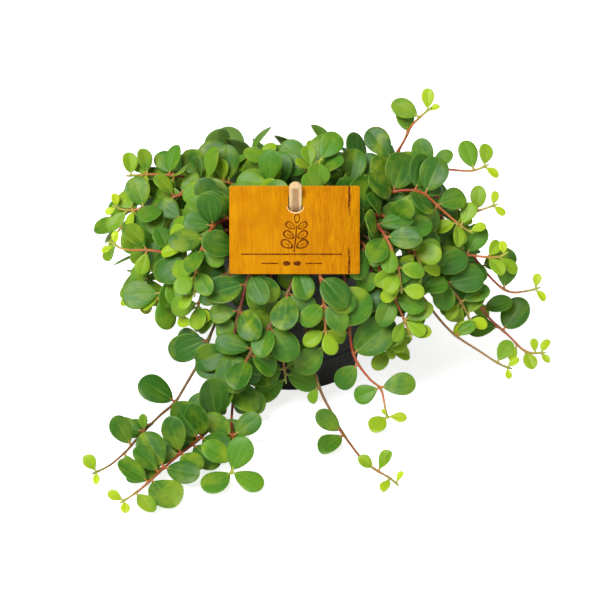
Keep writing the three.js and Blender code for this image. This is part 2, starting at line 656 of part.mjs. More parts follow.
// Where a leaf's face would like to point: out from the pot, up, and to the front
function wantedFace([x, y, z], random) {
  const out = Math.hypot(x, y);
  const spread = (facing.spread * Math.min(1, out / facing.spreadFrom)) / (out + 1);
  const behind = (y - facing.backFrom) / (facing.backBy - facing.backFrom);
  const front = behind < 0 ? facing.front : mix(facing.side, 0, Math.min(1, behind));
  const up = facing.up + (z < facing.low ? facing.lowUp : 0);
  const [sideways, along, upwards] = facing.sway.map((most) => mix(-most, most, random()));
  return unit([spread * x + sideways, spread * y - front + along, up + upwards]);
}

// Points spread over a blade, for testing what lies near it
const bladeSpots = [[0, 0]];
for (const [count, radius] of [[7, 0.46], [16, 0.95]]) {
  for (let i = 0; i < count; i += 1) {
    const angle = (2 * Math.PI * i) / count;
    bladeSpots.push([radius * Math.cos(angle), radius * Math.sin(angle)]);
  }
}

function spotsOf(leaf) {
  return bladeSpots.map(([a, b]) => {
    const share = (1 + a) / 2;
    const rise = leaf.cup * leaf.wide * b * b - leaf.bend * leaf.long * share * share;
    const centre = plus(leaf.at, leaf.out, leaf.petiole + leaf.long * share);
    return plus(plus(centre, leaf.side, 0.5 * leaf.wide * b), leaf.face, rise);
  });
}

const tagTurn = radians(tag.leanDeg);

// A point seen from the tag: right, up along the card, and out behind it
function fromTag(point) {
  const [x, y, z] = plus(point, tag.centre, -1);
  return [x, z * Math.cos(tagTurn) + y * Math.sin(tagTurn), y * Math.cos(tagTurn) - z * Math.sin(tagTurn)];
}

function hitsMadeThings(point) {
  const [x, y, z] = point;
  const out = Math.hypot(x, y);
  if (z < leafForm.floorClear) return true;
  const wall = Math.min(outerRadiusAt(z) + pot.lipOut + keepOff.wall, keepOff.farthest);
  const overPot = z < pot.height + keepOff.above && out < wall;
  if (overPot && (out > keepOff.rim || z < soil.top + keepOff.wall)) return true;
  const [right, up, behind] = fromTag(point);
  const past = Math.max(Math.abs(right) - tag.width / 2, Math.abs(up) - tag.height / 2);
  if (past < keepOff.card && Math.abs(behind) < keepOff.cardFace) return true;
  const stakeY = mix(stake.footY, stake.slotY, (z - stake.bottom) / (stake.slotZ - stake.bottom));
  const byStake = Math.abs(x - stakeX) < stake.width / 2 + keepOff.stake && z < stake.top + keepOff.stakeTop;
  return byStake && Math.abs(y - stakeY) < keepOff.stakeFace;
}

// The tag's face stays in view: a leaf in front of it may only reach over its edge
function hidesTag(leaf) {
  const centre = plus(leaf.at, leaf.out, leaf.petiole + leaf.long / 2);
  const [right, up, behind] = fromTag(centre);
  const reach = leafForm.overTag * leaf.long;
  return behind < 0 && Math.abs(right) < tag.width / 2 + reach && Math.abs(up) < tag.height / 2 + reach;
}

function bladeOn(stem, at, out, face, long, random) {
  const turned = unit(plus(face, out, -dot(face, out)));
  return {
    at: stem.line[at], out, face: turned, side: cross(turned, out), long,
    wide: long * leafForm.widthShare * mix(...leafForm.wideSpread, random()),
    petiole: mix(0.8, leafForm.petiole, Math.min(1, long / 12)) + stemRadiusAt(at / (stem.line.length - 1)),
    neck: Math.min(0.9, 0.35 + 0.04 * long), bend: mix(...leafForm.bend, random()),
    cup: mix(...leafForm.cup, random()),
  };
}

const quarter = Math.PI / 2;
const newWhorl = (at, twist) => ({ at, twist, leaves: [null, null, null, null] });

// The direction square to the stem in which one of its four walls faces
function wallDirection(stem, whorl, wallFace) {
  const { side, across } = stem.frames[whorl.at];
  const angle = whorl.twist + quarter / 2 + quarter * wallFace;
  return plus(side.map((c) => c * Math.cos(angle)), across, Math.sin(angle));
}

function findLeaf(stem, s, whorl, seed, wallFace, longest, taken) {
  const random = seeded(seed);
  const { at } = whorl;
  const around = wallDirection(stem, whorl, wallFace);
  for (let attempt = 0; attempt < leafForm.tries; attempt += 1) {
    const face = wantedFace(stem.line[at], random);
    const flat = plus(around, face, -leafForm.flatten * dot(around, face));
    const lean = leafForm.lean * mix(...leafForm.leanSpread, random());
    const out = unit(plus(flat, stem.frames[at].ahead, lean));
    const grown = Math.min(stem.full * mix(...leafForm.longSpread, random()), longest);
    const leaf = bladeOn(stem, at, out, face, grown * (1 - leafForm.shrink * attempt), random);
    if (dot(out, around) > leafForm.offWall && fits(leaf, s, taken)) return leaf;
  }
  return null;
}

// The place along a stem that is nearest to a place along its given points
function placeAlong(stem, place) {
  const i = Math.min(Math.floor(place), stem.via.length - 2);
  const want = plus(stem.via[i], plus(stem.via[i + 1], stem.via[i], -1), place - i);
  const far = stem.line.map((point) => size(plus(point, want, -1)));
  return Math.min(Math.max(far.indexOf(Math.min(...far)), leafForm.firstOnStem), stem.line.length - 2);
}

// A leaf whose direction is given as seen from the front. In front of the pot it hangs more upright, and
// low on the floor it can't point further down
function placedOut(angle, [, y, z], long) {
  const [c, s] = [Math.cos(angle), Math.sin(angle)];
  if (z < leafForm.lowStem && s < 0) return unit([c, s, s * Math.min(0.6, (z - 1.8) / (long + 4))]);
  return unit(y < leafForm.frontFrom ? [c, 0.15 * s, 0.95 * s] : [c, 0.42 * s, 0.91 * s]);
}

function placedFace([, y, z], random) {
  const upright = y < leafForm.frontFrom && z >= leafForm.lowStem;
  const [front, up] = upright ? [-0.85, 0.55] : [-0.6, 0.8];
  const [sideways, along, upwards] = facing.placedSway.map((most) => mix(-most, most, random()));
  return unit([sideways, front + along, up + upwards]);
}

function findPlacedLeaf(stem, s, whorls, [place, angle, long], seed, taken) {
  const random = seeded(seed);
  const at = placeAlong(stem, place);
  const { side, across } = stem.frames[at];
  for (let attempt = 0; attempt < leafForm.tries; attempt += 1) {
    const aside = leafForm.turnStep * Math.floor((attempt + 1) / 2) * (attempt % 2 ? 1 : -1);
    const shorter = long * (1 - leafForm.placedShrink * attempt);
    const out = placedOut(radians(angle + aside), stem.line[at], shorter);
    const leaf = bladeOn(stem, at, out, placedFace(stem.line[at], random), shorter, random);
    const turn = Math.atan2(dot(out, across), dot(out, side)) - quarter / 2;
    const whorl = whorls.get(at) ?? newWhorl(at, turn - quarter * Math.floor(turn / quarter + 0.5));
    const wallFace = (Math.floor((turn - whorl.twist) / quarter + 0.5) + 8) % 4;
    if (whorl.leaves[wallFace] || dot(out, wallDirection(stem, whorl, wallFace)) < leafForm.offWall) continue;
    if (fits(leaf, s, taken)) {
      whorl.leaves[wallFace] = leaf;
      whorls.set(at, whorl);
      return leaf;
    }
  }
  return null;
}

function take(leaf, s, taken) {
  spotsOf(leaf).forEach((spot) => taken.push([spot, s, false]));
}

function placeLeaves(stem, s, taken) {
  const whorls = new Map();
  (stem.placed ?? []).forEach((row, i) => {
    const leaf = findPlacedLeaf(stem, s, whorls, row, seeds.placed + seeds.perStemPlaced * s + i, taken);
    if (leaf) take(leaf, s, taken);
  });
  stem.whorls = [...whorls.values()].sort((a, b) => b.at - a.at);
}

// The rest of the leaves: in twos and threes along each stem, smaller at its tip, each in the clear
function growLeaves(stem, s, taken) {
  const last = stem.line.length - 1;
  const placedFrom = stem.whorls.length ? stem.whorls[stem.whorls.length - 1].at : Infinity;
  leafForm.whorlsFromTip.forEach((back, w) => {
    const at = last - back;
    if (at < leafForm.firstOnStem || at > placedFrom - leafForm.gap) return;
    if (at < leafForm.overSoilUntil && stem.line[at][2] < soil.top + leafForm.overSoil) return;
    const random = seeded(seeds.whorl + seeds.perStemWhorl * s + w);
    if (w > 2 && random() < stem.bare) return;
    const whorl = newWhorl(at, quarter * random() - quarter / 2);
    const wanted = w > 1 && random() < leafForm.threes ? 3 : 2;
    const longest = (stem.tip ?? leafForm.tip) + leafForm.growth * back * stemForm.step;
    let grown = 0;
    for (const face of (w % 2 ? [1, 3, 0, 2] : [0, 2, 1, 3])) {
      const seed = seeds.leaf + seeds.perStem * s + seeds.perWhorl * w + face;
      const leaf = grown < wanted ? findLeaf(stem, s, whorl, seed, face, longest, taken) : null;
      if (leaf) {
        whorl.leaves[face] = leaf;
        grown += 1;
        take(leaf, s, taken);
      }
    }
    if (grown) stem.whorls.push(whorl);
  });
}

function fits(leaf, s, taken) {
  if (hidesTag(leaf)) return false;
  const spots = spotsOf(leaf);
  if (spots.some(hitsMadeThings)) return false;
  const reach = leaf.long + leaf.petiole + 4;
  const clearShare = mix(0.5, 1, Math.min(1, leaf.long / 13));
  for (const [point, owner, onStem] of taken) {
    if (Math.abs(point[0] - leaf.at[0]) > reach || Math.abs(point[1] - leaf.at[1]) > reach) continue;
    if (Math.abs(point[2] - leaf.at[2]) > reach) continue;
    const clearOwn = onStem ? leafForm.clearOwnStem * clearShare : leafForm.clearOwn * clearShare;
    const clear = owner === s ? clearOwn : leafForm.clearOthers;
    if (spots.some((spot) => size(plus(spot, point, -1)) < clear)) return false;
  }
  return true;
}

function material(colour, roughness) {
  return new THREE.MeshStandardMaterial({ color: colour, roughness, metalness: 0 });
}

function named(name, geometry, finish) {
  const mesh = new THREE.Mesh(geometry, finish);
  mesh.name = name;
  return mesh;
}

// The whole plant
const growth = { ...handStems, ...crownStems(), ...backStems() };
const stems = Object.entries(growth).map(([name, stem]) => (
  { name, bare: 0, ...stem, line: stemLine(stem) }
));
settleApart(stems.map((stem) => stem.line));
for (const stem of stems) stem.frames = stemFrames(stem.line);
const taken = stems.flatMap((stem, s) => stem.line.map((point) => [point, s, true]));
stems.forEach((stem, s) => placeLeaves(stem, s, taken));
stems.forEach((stem, s) => growLeaves(stem, s, taken));

const plant = new THREE.Group();
plant.add(named("pot", potGeometry(), material(colours.pot, 0.55)));
plant.add(named("soil", soilGeometry(stems, toSolid(stakeShape(soil.gap))), material(colours.soil, 0.95)));
plant.add(named("stake", stakeShape(0), material(colours.stake, 0.6)));
const tagGroup = tagPlace();
tagGroup.add(named("tag", tagGeometry(), material(colours.tag, 0.5)));
plant.add(tagGroup);
stems.forEach((stem) => {
  plant.add(named(stem.name, leafyStemGeometry(stem), material(colours.leaf, 0.45)));
});

export default plant;
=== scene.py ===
import math

import bmesh
import bpy
import numpy as np
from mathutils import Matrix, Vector


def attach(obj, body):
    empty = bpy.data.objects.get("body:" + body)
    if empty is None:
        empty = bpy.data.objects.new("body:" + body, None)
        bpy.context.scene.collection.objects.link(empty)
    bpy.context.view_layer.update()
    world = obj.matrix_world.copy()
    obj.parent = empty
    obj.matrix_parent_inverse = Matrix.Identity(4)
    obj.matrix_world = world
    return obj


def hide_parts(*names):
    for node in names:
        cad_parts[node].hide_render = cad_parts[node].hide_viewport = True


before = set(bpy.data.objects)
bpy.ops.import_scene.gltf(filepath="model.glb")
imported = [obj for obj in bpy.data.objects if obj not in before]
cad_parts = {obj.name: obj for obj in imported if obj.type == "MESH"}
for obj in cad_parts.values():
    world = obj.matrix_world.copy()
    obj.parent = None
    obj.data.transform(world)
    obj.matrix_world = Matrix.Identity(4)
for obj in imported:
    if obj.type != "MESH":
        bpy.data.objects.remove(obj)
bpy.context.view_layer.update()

# Potted round-leaf peperomia. Lengths are in millimetres here, and each mesh is made in metres.
mm = 0.001

pot = {
    "height": 90, "rimRadius": 52.5, "baseRadius": 37, "wall": 1.4, "floor": 2.2,
    "lipOut": 2, "lipDrop": 8, "drains": 5, "drainRadius": 3, "drainRing": 22,
    "sides": 96, "ribs": 24, "ribDepth": 0.35, "ribFrom": 0.55, "ribbed": (19.5, 79), "footRise": 1.2,
    "mouldRound": 0.6, "wallHeights": (4, 10, 17.8, 18.2, 19, 19.4, 30, 42, 54, 66, 78),
    "groove": (18, 19), "grooveDepth": 0.5,
}
soil = {
    "top": 80, "gap": 0.3, "grit": 1.1, "crumbs": 420, "crumbSize": (0.5, 1.9), "rings": 40, "spokes": 120,
    "waves": 0.6, "sink": 0.5, "jitter": 0.006, "pale": 0.07, "lumps": (0.7, 1.25),
    "stretch": ((0.7, 1.3), (0.7, 1.3), (0.5, 0.9)),
}
tag = {
    "width": 69.4, "height": 47, "thickness": 1.6, "corner": 1.2, "centre": (2.7, -58.2, 106),
    "leanDeg": 22, "slotX": 0.5, "slotUp": 14.8, "slotWidth": 7.4, "slotLength": 9.2, "slotCorner": 1.8,
    "bevel": 0.22,
}
stake = {
    "width": 6.7, "thickness": 1.3, "top": 132.4, "bottom": 46, "footY": -41.2, "slotY": -52.6,
    "slotZ": 118, "bevel": 0.3,
}
stemForm = {
    "rootRadius": 1.25, "tipRadius": 0.6, "step": 3, "rootDepth": 11.4, "clearance": 3.3,
    "settleRounds": 24, "lowest": 2.4, "rooted": 6, "dense": 8, "sides": 9, "roundness": 0.86,
    "nodeSwell": 0.34, "nodeReach": 2.2, "tipRound": 0.55, "hueSpread": 0.6,
}
leafForm = {
    "leafSeed": 10000, "clear": {"others": 3.2, "own": 2, "ownStem": 2.3}, "tip": 10, "growth": 0.21,
    "small": (0.5, 13), "near": 4, "smallPetiole": (0.8, 12), "neck": (0.35, 0.04, 0.9), "widthShare": 0.84,
    "petiole": 2.6, "thickness": 1.25, "flatten": 0.72, "lean": 0.42, "tries": 9, "floorClear": 0.9,
    "lowStem": 16, "frontFrom": -56, "turnStep": 9, "threes": 0.3, "offWall": 0.35, "overTag": 0.32,
    "shrink": 0.04, "placedShrink": 0.03, "wideSpread": (0.88, 1.12), "longSpread": (0.82, 1.12),
    "leanSpread": (0.4, 1.6), "bend": (0.02, 0.2), "cup": (-0.05, 0.13), "firstOnStem": 7, "overSoil": 10,
    "overSoilUntil": 14, "gap": 4, "whorlsFromTip": (1, 5, 11, 18, 25, 32, 39, 46, 53, 60, 67, 74, 81),
}
# Where each stem's own seeds start, and how far apart those of its whorls and leaves are
seeds = {
    "whorl": 7000, "placed": 30000, "crown": 0, "back": 340, "look": 90000, "soil": 11,
    "perStem": 331, "perWhorl": 17, "perStemWhorl": 50, "perStemPlaced": 100, "perRing": 100,
}
letters = "abcdefghij"


# The same numbers from the same seed, on every run
def seeded(seed):
    state = [((seed + 1) * 2654435761) & 0xFFFFFFFF]

    def draw():
        state[0] = (state[0] * 1664525 + 1013904223) & 0xFFFFFFFF
        return state[0] / 4294967296

    return draw


def mix(a, b, t):
    return a + (b - a) * t


def unit(v):
    return v / np.sqrt(v @ v)


# Where each stem leaves the soil and the points that it passes. Placed leaves are given by the place along
# those points, the direction seen from the front (degrees, 0 right and 90 up) and the length
handStems = {
    "tallShoot": {"root": (25, 6), "full": 16, "bare": 0.6, "via": [(31, 8, 98), (43, 9, 108),
        (54, 10, 115), (62, 8, 129), (67, 7, 140), (77, 5, 151)],
        "placed": [(4.8, 62, 11), (4.3, 150, 14), (3.4, 70, 15), (2.3, 128, 18), (2.1, 200, 17),
        (2.6, 330, 14), (4.9, 20, 5)]},
    "upperRight": {"root": (22, -6), "full": 18, "bare": 0.6, "via": [(28, -7, 98), (42, -8, 110),
        (58, -8, 116), (80, -6, 119), (99, 0, 115.5), (109, 1, 119)],
        "placed": [(4.8, 75, 10), (4.6, 345, 8), (4.1, 108, 14), (2.9, 28, 12), (2.75, 96, 15),
        (2.45, 142, 18), (2.2, 250, 17)]},
    "darkRedRight": {"root": (30, -14), "full": 19, "via": [(38, -19, 99), (53, -23, 112), (70, -25, 114),
        (81, -26, 105), (93, -26, 94), (100, -25, 89)],
        "placed": [(4.9, 20, 7), (4.6, 75, 9), (4, 62, 11), (3.8, 200, 9), (4.1, 285, 8), (2.3, 68, 18),
        (1.9, 250, 19), (1.1, 255, 19)]},
    "midRight": {"root": (35, -1), "full": 18, "via": [(44, -2, 98), (66, -3, 106), (91, -5, 97),
        (99, -5, 93), (114, -5, 98)],
        "placed": [(3.9, 50, 7), (3.8, 325, 6), (3.4, 20, 9), (3.2, 60, 13), (2.9, 150, 14), (2.6, 118, 13),
        (2.2, 290, 15)]},
    "lowRight": {"root": (37, -17), "full": 20, "via": [(46, -22, 97), (64, -26, 95), (82, -26, 81),
        (97, -26, 77), (113, -25, 75), (119, -24, 78)],
        "placed": [(4.8, 60, 7), (4.2, 325, 10), (4, 85, 11), (3, 62, 15), (2.6, 338, 20), (2.2, 240, 19),
        (1.3, 332, 19), (1.2, 80, 15)]},
    "hangRight": {"root": (34, -26), "full": 19, "via": [(42, -33, 97), (58, -40, 92), (76, -40, 75),
        (89, -37, 60), (96, -36, 48), (99, -36, 40)],
        "placed": [(4.9, 340, 8), (4.4, 62, 13), (4.6, 225, 9), (3.6, 25, 14), (3.5, 230, 9), (2.6, 12, 18),
        (2.5, 240, 17), (1.5, 250, 19)]},
    "longRight": {"root": (27, -32), "full": 18, "bare": 0.6, "via": [(34, -41, 97), (48, -50, 93),
        (62, -50, 76), (73, -47, 60), (81, -46, 48), (90, -46, 38), (103, -49, 30), (114, -53, 24),
        (121, -55, 22)],
        "placed": [(7.8, 30, 6), (7.7, 300, 5), (7.1, 292, 9), (6.9, 58, 11), (4.9, 68, 13), (5.1, 8, 13),
        (3.3, 230, 13), (2.6, 38, 17), (2.4, 225, 16), (1.3, 250, 19)]},
    "farRight": {"root": (40, -8), "full": 18, "bare": 0.6, "via": [(49, -11, 97), (68, -15, 95),
        (90, -17, 66), (107, -16, 38), (121, -15, 23), (131, -15, 13), (142, -16, 13)],
        "placed": [(5.8, 40, 7), (5.7, 318, 6), (5.4, 70, 7), (5, 295, 9), (4.6, 245, 7), (3.8, 55, 18),
        (3.4, 355, 19), (3.6, 152, 17), (2.9, 25, 15), (2.8, 205, 16)]},
    "farRightUpper": {"root": (41, 3), "full": 19, "bare": 0.6, "via": [(50, 3, 98), (72, 0, 98),
        (93, -5, 78), (108, -10, 59), (120, -13, 49), (132, -14, 50), (138, -14, 52)],
        "placed": [(5.8, 45, 8), (5.6, 310, 6), (3.9, 90, 14), (4.2, 298, 13), (2.8, 350, 20),
        (3.3, 205, 15), (2.2, 225, 18)]},
    "frontRight": {"root": (22, -37), "full": 20, "bare": 1, "via": [(24, -44, 96), (27, -57, 92),
        (31, -60, 66), (34, -67, 38), (43, -71, 24), (49, -72, 19), (51, -75, 12), (52, -80, 8),
        (53, -86, 7)],
        "placed": [(7.9, 355, 8), (7.6, 262, 14), (7.3, 160, 4), (5, 10, 16), (5.1, 205, 12), (3, 43, 25),
        (3.4, 240, 15), (2.6, 172, 16), (2.2, 30, 17)]},
    "frontCentre": {"root": (14, -34), "full": 19, "bare": 1, "via": [(15, -43, 96), (12, -57, 90),
        (8, -58, 68), (9, -58, 46), (14, -69, 25), (18, -72, 14), (22, -77, 8), (25, -88, 6.5),
        (28, -100, 6.5), (33, -115, 6), (39, -132, 6), (45, -142, 6), (52, -150, 5.5), (57, -158, 5)],
        "placed": [(12.8, 60, 5), (12.2, 250, 8), (11.2, 62, 10), (10.9, 140, 8), (8, 138, 14),
        (8.1, 208, 17), (4.3, 316, 19), (4.5, 262, 9), (3, 60, 17)]},
    "frontLeftLong": {"root": (-15, -35), "full": 18, "bare": 0.2, "via": [(-19, -43, 96), (-29, -55, 92),
        (-35, -60, 72), (-38, -61, 58), (-43, -62, 45), (-48, -65, 33), (-57, -70, 18), (-62, -74, 11),
        (-69, -85, 9.5), (-75, -97, 8.5), (-81, -112, 8.5), (-86, -126, 8.5), (-94, -141, 8),
        (-103, -149, 7)],
        "placed": [(12.8, 120, 8), (12.9, 235, 6.5), (11.2, 262, 13), (10.6, 119, 15), (9.4, 172, 15),
        (9.3, 95, 7), (8.7, 235, 16), (7, 143, 19), (6.5, 205, 13), (4.2, 203, 17), (4.4, 283, 18)]},
    "frontLeft": {"root": (-8, -40), "full": 20, "via": [(-10, -47, 97), (-18, -58, 92), (-26, -66, 66),
        (-31, -72, 42), (-34, -77, 24), (-38, -86, 10), (-42, -99, 9), (-49, -114, 8.5), (-58, -130, 8.5),
        (-66, -146, 8.5), (-73, -161, 8.5), (-77, -168, 8), (-82, -175, 7.5), (-87, -180, 6.5)],
        "placed": [(12.7, 150, 7), (12.5, 262, 6), (11.3, 300, 13), (9.9, 143, 16), (9.8, 306, 20),
        (9.2, 130, 15), (7, 120, 20), (7.1, 232, 20), (7.2, 300, 19), (6.4, 165, 14), (5.1, 74, 19),
        (4.6, 200, 18)]},
    "frontNear": {"root": (10, -38), "full": 19, "via": [(10, -46, 96), (6, -57, 92), (1, -63, 76),
        (-10, -72, 57.5), (-20, -78, 44.5), (-27, -80, 30), (-30, -80, 19.5), (-31, -82, 9), (-31, -97, 9),
        (-30, -110, 8.5), (-30, -130, 8.5), (-30, -150, 7)],
        "placed": [(10.9, 70, 17), (10.9, 232, 18), (10.4, 142, 15), (10.8, 312, 17), (8.8, 40, 15),
        (8.6, 188, 17), (6, 211, 19), (6.1, 342, 15), (4, 165, 17), (4.1, 58, 14), (4.2, 322, 14)]},
    "underTagLeft": {"root": (-11, -27), "full": 22, "bare": 0.8, "via": [(-12, -40, 103), (-10, -56, 97),
        (-10, -59, 78), (-8, -59, 58), (-5, -60, 40), (-3, -61, 26), (-2, -61, 16)],
        "placed": [(5.9, 215, 17), (5.5, 342, 16), (5.1, 188, 19), (5, 20, 20), (4.6, 290, 20),
        (4, 150, 18), (3.6, 30, 18)]},
    "underTagRight": {"root": (3, -26), "full": 22, "via": [(8, -40, 103), (12, -56, 98), (16, -65, 84),
        (18, -69, 71), (19, -70, 61), (19, -71, 50), (18, -70, 41)],
        "placed": [(5.8, 228, 18), (5.8, 322, 17), (4.1, 120, 23), (4.2, 28, 24), (4, 216, 22),
        (4.1, 302, 22), (2.6, 75, 19)]},
    "centreRight": {"root": (18, -24), "full": 22, "via": [(26, -38, 98), (41, -56, 95), (52, -60, 76),
        (61, -61, 56), (66, -62, 43)],
        "placed": [(3.9, 12, 9), (3.8, 195, 12), (3.1, 118, 15), (3.1, 30, 14), (3.2, 215, 14),
        (2.25, 50, 17), (2.3, 184, 24), (2.3, 262, 19)]},
    "centreLow": {"root": (12, -27), "full": 22, "via": [(21, -41, 98), (36, -54, 95), (45, -54, 78),
        (50, -54, 60), (53, -54, 44), (55, -55, 30)]},
    "besideTagRight": {"root": (29, -22), "full": 22, "via": [(37, -28, 100), (50, -37, 105),
        (60, -45, 100), (68, -50, 88), (72, -52, 78)]},
    "besideTagLeft": {"root": (-27, -15), "full": 22, "via": [(-32, -22, 100), (-41, -33, 105),
        (-50, -40, 99), (-58, -43, 86)]},
    "tagEdgeLeft": {"root": (-21, -23), "full": 22, "via": [(-29, -35, 102), (-40, -47, 104),
        (-46, -57, 97), (-50, -63, 84), (-51, -66, 70)]},
    "tagEdgeRight": {"root": (22, -15), "full": 22, "via": [(32, -33, 103), (45, -46, 105), (53, -57, 98),
        (58, -63, 86), (60, -66, 72)]},
    "leftLower": {"root": (-20, -38), "full": 22, "via": [(-28, -44, 96), (-38, -52, 90), (-46, -57, 72),
        (-50, -58, 58), (-52, -58, 48)]},
    "leftTip": {"root": (-34, -1), "full": 18, "via": [(-43, -2, 98), (-58, -5, 104), (-73, -8, 98),
        (-89, -9, 96), (-97, -9, 99)],
        "placed": [(3.9, 110, 6), (3.6, 205, 5), (2.9, 198, 14), (2.8, 300, 17), (2.5, 108, 15),
        (1.3, 150, 14), (1.4, 42, 13), (1.5, 232, 9), (1.1, 15, 15)]},
    "leftRed": {"root": (-30, -23), "full": 19, "via": [(-38, -29, 97), (-54, -33, 87), (-64, -32, 81),
        (-76, -31, 82), (-90, -30, 82), (-97, -29, 86)],
        "placed": [(4.8, 100, 6), (4.7, 205, 6), (3.9, 117, 15), (3.1, 148, 17), (2, 52, 19),
        (2.2, 113, 12), (1.9, 243, 15), (3, 290, 14)]},
    "leftLow": {"root": (-26, -30), "full": 19, "via": [(-34, -38, 97), (-50, -45, 89), (-65, -43, 71),
        (-72, -42, 57), (-79, -42, 50)],
        "placed": [(3.9, 118, 9), (3.9, 198, 11), (3.6, 205, 12), (2.7, 165, 20), (2.9, 290, 15),
        (2, 235, 17), (1.9, 60, 18)]},
    "leftUpper": {"root": (-27, 10), "full": 19, "via": [(-36, 10, 99), (-54, 10, 107), (-75, 8, 110),
        (-90, 6, 110)],
        "placed": [(2.9, 190, 11), (2.8, 96, 10), (2.3, 118, 13), (2.5, 250, 15), (1.6, 75, 14),
        (1.5, 250, 15)]},
    "leftSide": {"root": (-36, -12), "full": 20, "via": [(-45, -15, 98), (-61, -19, 92), (-76, -21, 68),
        (-84, -22, 48)],
        "placed": [(2.9, 215, 9), (2.8, 290, 9), (2.4, 236, 15), (2.3, 300, 15), (1.6, 200, 18)]},
    "topShoot": {"root": (8, 9), "full": 18, "via": [(8, 10, 99), (9, 12, 108), (10, 14, 117)],
        "placed": [(1.9, 55, 20), (1.8, 150, 16), (1.2, 100, 15)]},
}


# Short upright shoots over the soil, on rings of (count, radius, reach, height), with the way out,
# forward and up of each stop
crown = {
    "rings": ((3, 7, 15, 42), (6, 18, 23, 33)),
    "turn": (0.85, 0.3), "tall": (0.88, 0.24), "inFront": 0.6, "full": 22, "tip": 15,
    "stops": ((0.15, 1, 0.45), (0.55, 4, 0.85), (1.25, 9, 1)),
}


def crownStems():
    stems = {}
    for r, (count, radius, reach, height) in enumerate(crown["rings"]):
        for i in range(count):
            draw = seeded(seeds["crown"] + seeds["perRing"] * r + i)
            angle = 2 * math.pi * (i + crown["turn"][0] + crown["turn"][1] * draw()) / count
            c, s = math.cos(angle), math.sin(angle)
            tall = height * (crown["tall"][0] + crown["tall"][1] * draw())
            via = []
            for share, forward, up in crown["stops"]:
                out = radius + reach * share * (crown["inFront"] if s < 0 else 1)
                via.append((out * c, out * s - forward, soil["top"] + up * tall))
            root = (radius * c, radius * s)
            form = {"root": root, "full": crown["full"], "tip": crown["tip"], "via": via}
            stems[f"crown{r + 1}{letters[i]}"] = form
    return stems


# Stems that arch over the back of the rim and hang to either side and behind
back = {
    "count": 10, "from": 17, "to": 160, "rootOut": (41, 31), "rise": 15, "reach": (92, 108),
    "drop": ((12, 36), (44, 70)), "sway": 0.14, "overRim": 7, "overRimUp": 0.75, "high": 0.45,
    "falling": 0.78, "fallen": 0.42, "full": 21, "tip": 12, "bare": 0.12,
}


def backStems():
    stems = {}
    for i in range(back["count"]):
        draw = seeded(seeds["back"] + i)
        angle = math.radians(mix(back["from"], back["to"], i / (back["count"] - 1)))
        c, s = math.cos(angle), math.sin(angle)
        rootOut, top = back["rootOut"][i % 2], soil["top"] + back["rise"]
        reach = mix(*back["reach"], draw())
        drop = mix(*back["drop"][i % 2], draw())

        def at(out, z, turn=0):
            ct, st = math.cos(turn), math.sin(turn)
            return out * (c * ct - s * st), out * (s * ct + c * st), z

        sway = mix(-back["sway"], back["sway"], draw())
        stems[f"back{letters[i]}"] = {
            "root": at(rootOut, 0)[:2], "full": back["full"], "tip": back["tip"], "bare": back["bare"],
            "via": [
                at(rootOut + back["overRim"], soil["top"] + back["overRimUp"] * back["rise"]),
                at(mix(rootOut, reach, back["high"]), top),
                at(mix(rootOut, reach, back["falling"]), mix(top, drop, back["fallen"]), sway / 2),
                at(reach, drop, sway),
            ],
        }
    return stems


# A smooth line through the points, as points at even steps
def smoothLine(points, step):
    p = np.array(points, float)
    line = np.vstack([p[0] - (p[1] - p[0]), p, p[-1] + (p[-1] - p[-2])])
    dense = []
    for a, b, c, d in zip(line, line[1:], line[2:], line[3:]):
        for j in range(stemForm["dense"]):
            t = j / stemForm["dense"]
            dense.append(0.5 * (2 * b + (c - a) * t + (2 * a - 5 * b + 4 * c - d) * t * t
                                + (3 * b - a - 3 * c + d) * t * t * t))
    dense = np.array(dense + [p[-1]])
    along = np.concatenate([[0], np.cumsum(np.linalg.norm(np.diff(dense, axis=0), axis=1))])
    count = int(along[-1] / step + 0.5)
    wanted = along[-1] * np.arange(count + 1) / count
    return np.column_stack([np.interp(wanted, along, dense[:, k]) for k in range(3)])


def stemLine(stem):
    x, y = stem["root"]
    start = [(x, y, soil["top"] - stemForm["rootDepth"]), (x, y, soil["top"] + 4)]
    return smoothLine(start + list(stem["via"]), stemForm["step"])


# Neighbouring stems push each other aside until they lie clear
def settleApart(lines):
    clearance = stemForm["clearance"]
    for _ in range(stemForm["settleRounds"]):
        moves = [np.zeros_like(line) for line in lines]
        boxes = [(line.min(0) - clearance, line.max(0) + clearance) for line in lines]
        for i, a in enumerate(lines):
            for j in range(i + 1, len(lines)):
                if np.any(boxes[i][0] > boxes[j][1]) or np.any(boxes[j][0] > boxes[i][1]):
                    continue
                apart = a[:, None] - lines[j][None]
                far = np.sqrt((apart ** 2).sum(2))
                near = far < clearance
                if near.any():
                    share = np.where(near, 0.5 * (clearance - far) / np.maximum(far, 1e-9), 0)
                    push = share[..., None] * apart
                    moves[i] += push.sum(1)
                    moves[j] -= push.sum(0)
        for line, move in zip(lines, moves):
            after = np.vstack([move[1:], move[-1:]])
            moved = line + 0.5 * move + 0.25 * np.vstack([move[:1], move[:-1]]) + 0.25 * after
            moved[:, 2] = np.maximum(moved[:, 2], np.minimum(line[:, 2], stemForm["lowest"]))
            line[stemForm["rooted"]:] = moved[stemForm["rooted"]:]


# The direction of a stem and two sideways directions at each of its points
def stemFrames(line):
    side = np.array([1.0, 0, 0])
    frames = []
    for i in range(len(line)):
        ahead = unit(line[min(i + 1, len(line) - 1)] - line[max(i - 1, 0)])
        side = unit(side - (side @ ahead) * ahead)
        frames.append((ahead, side, np.cross(ahead, side)))
    return frames


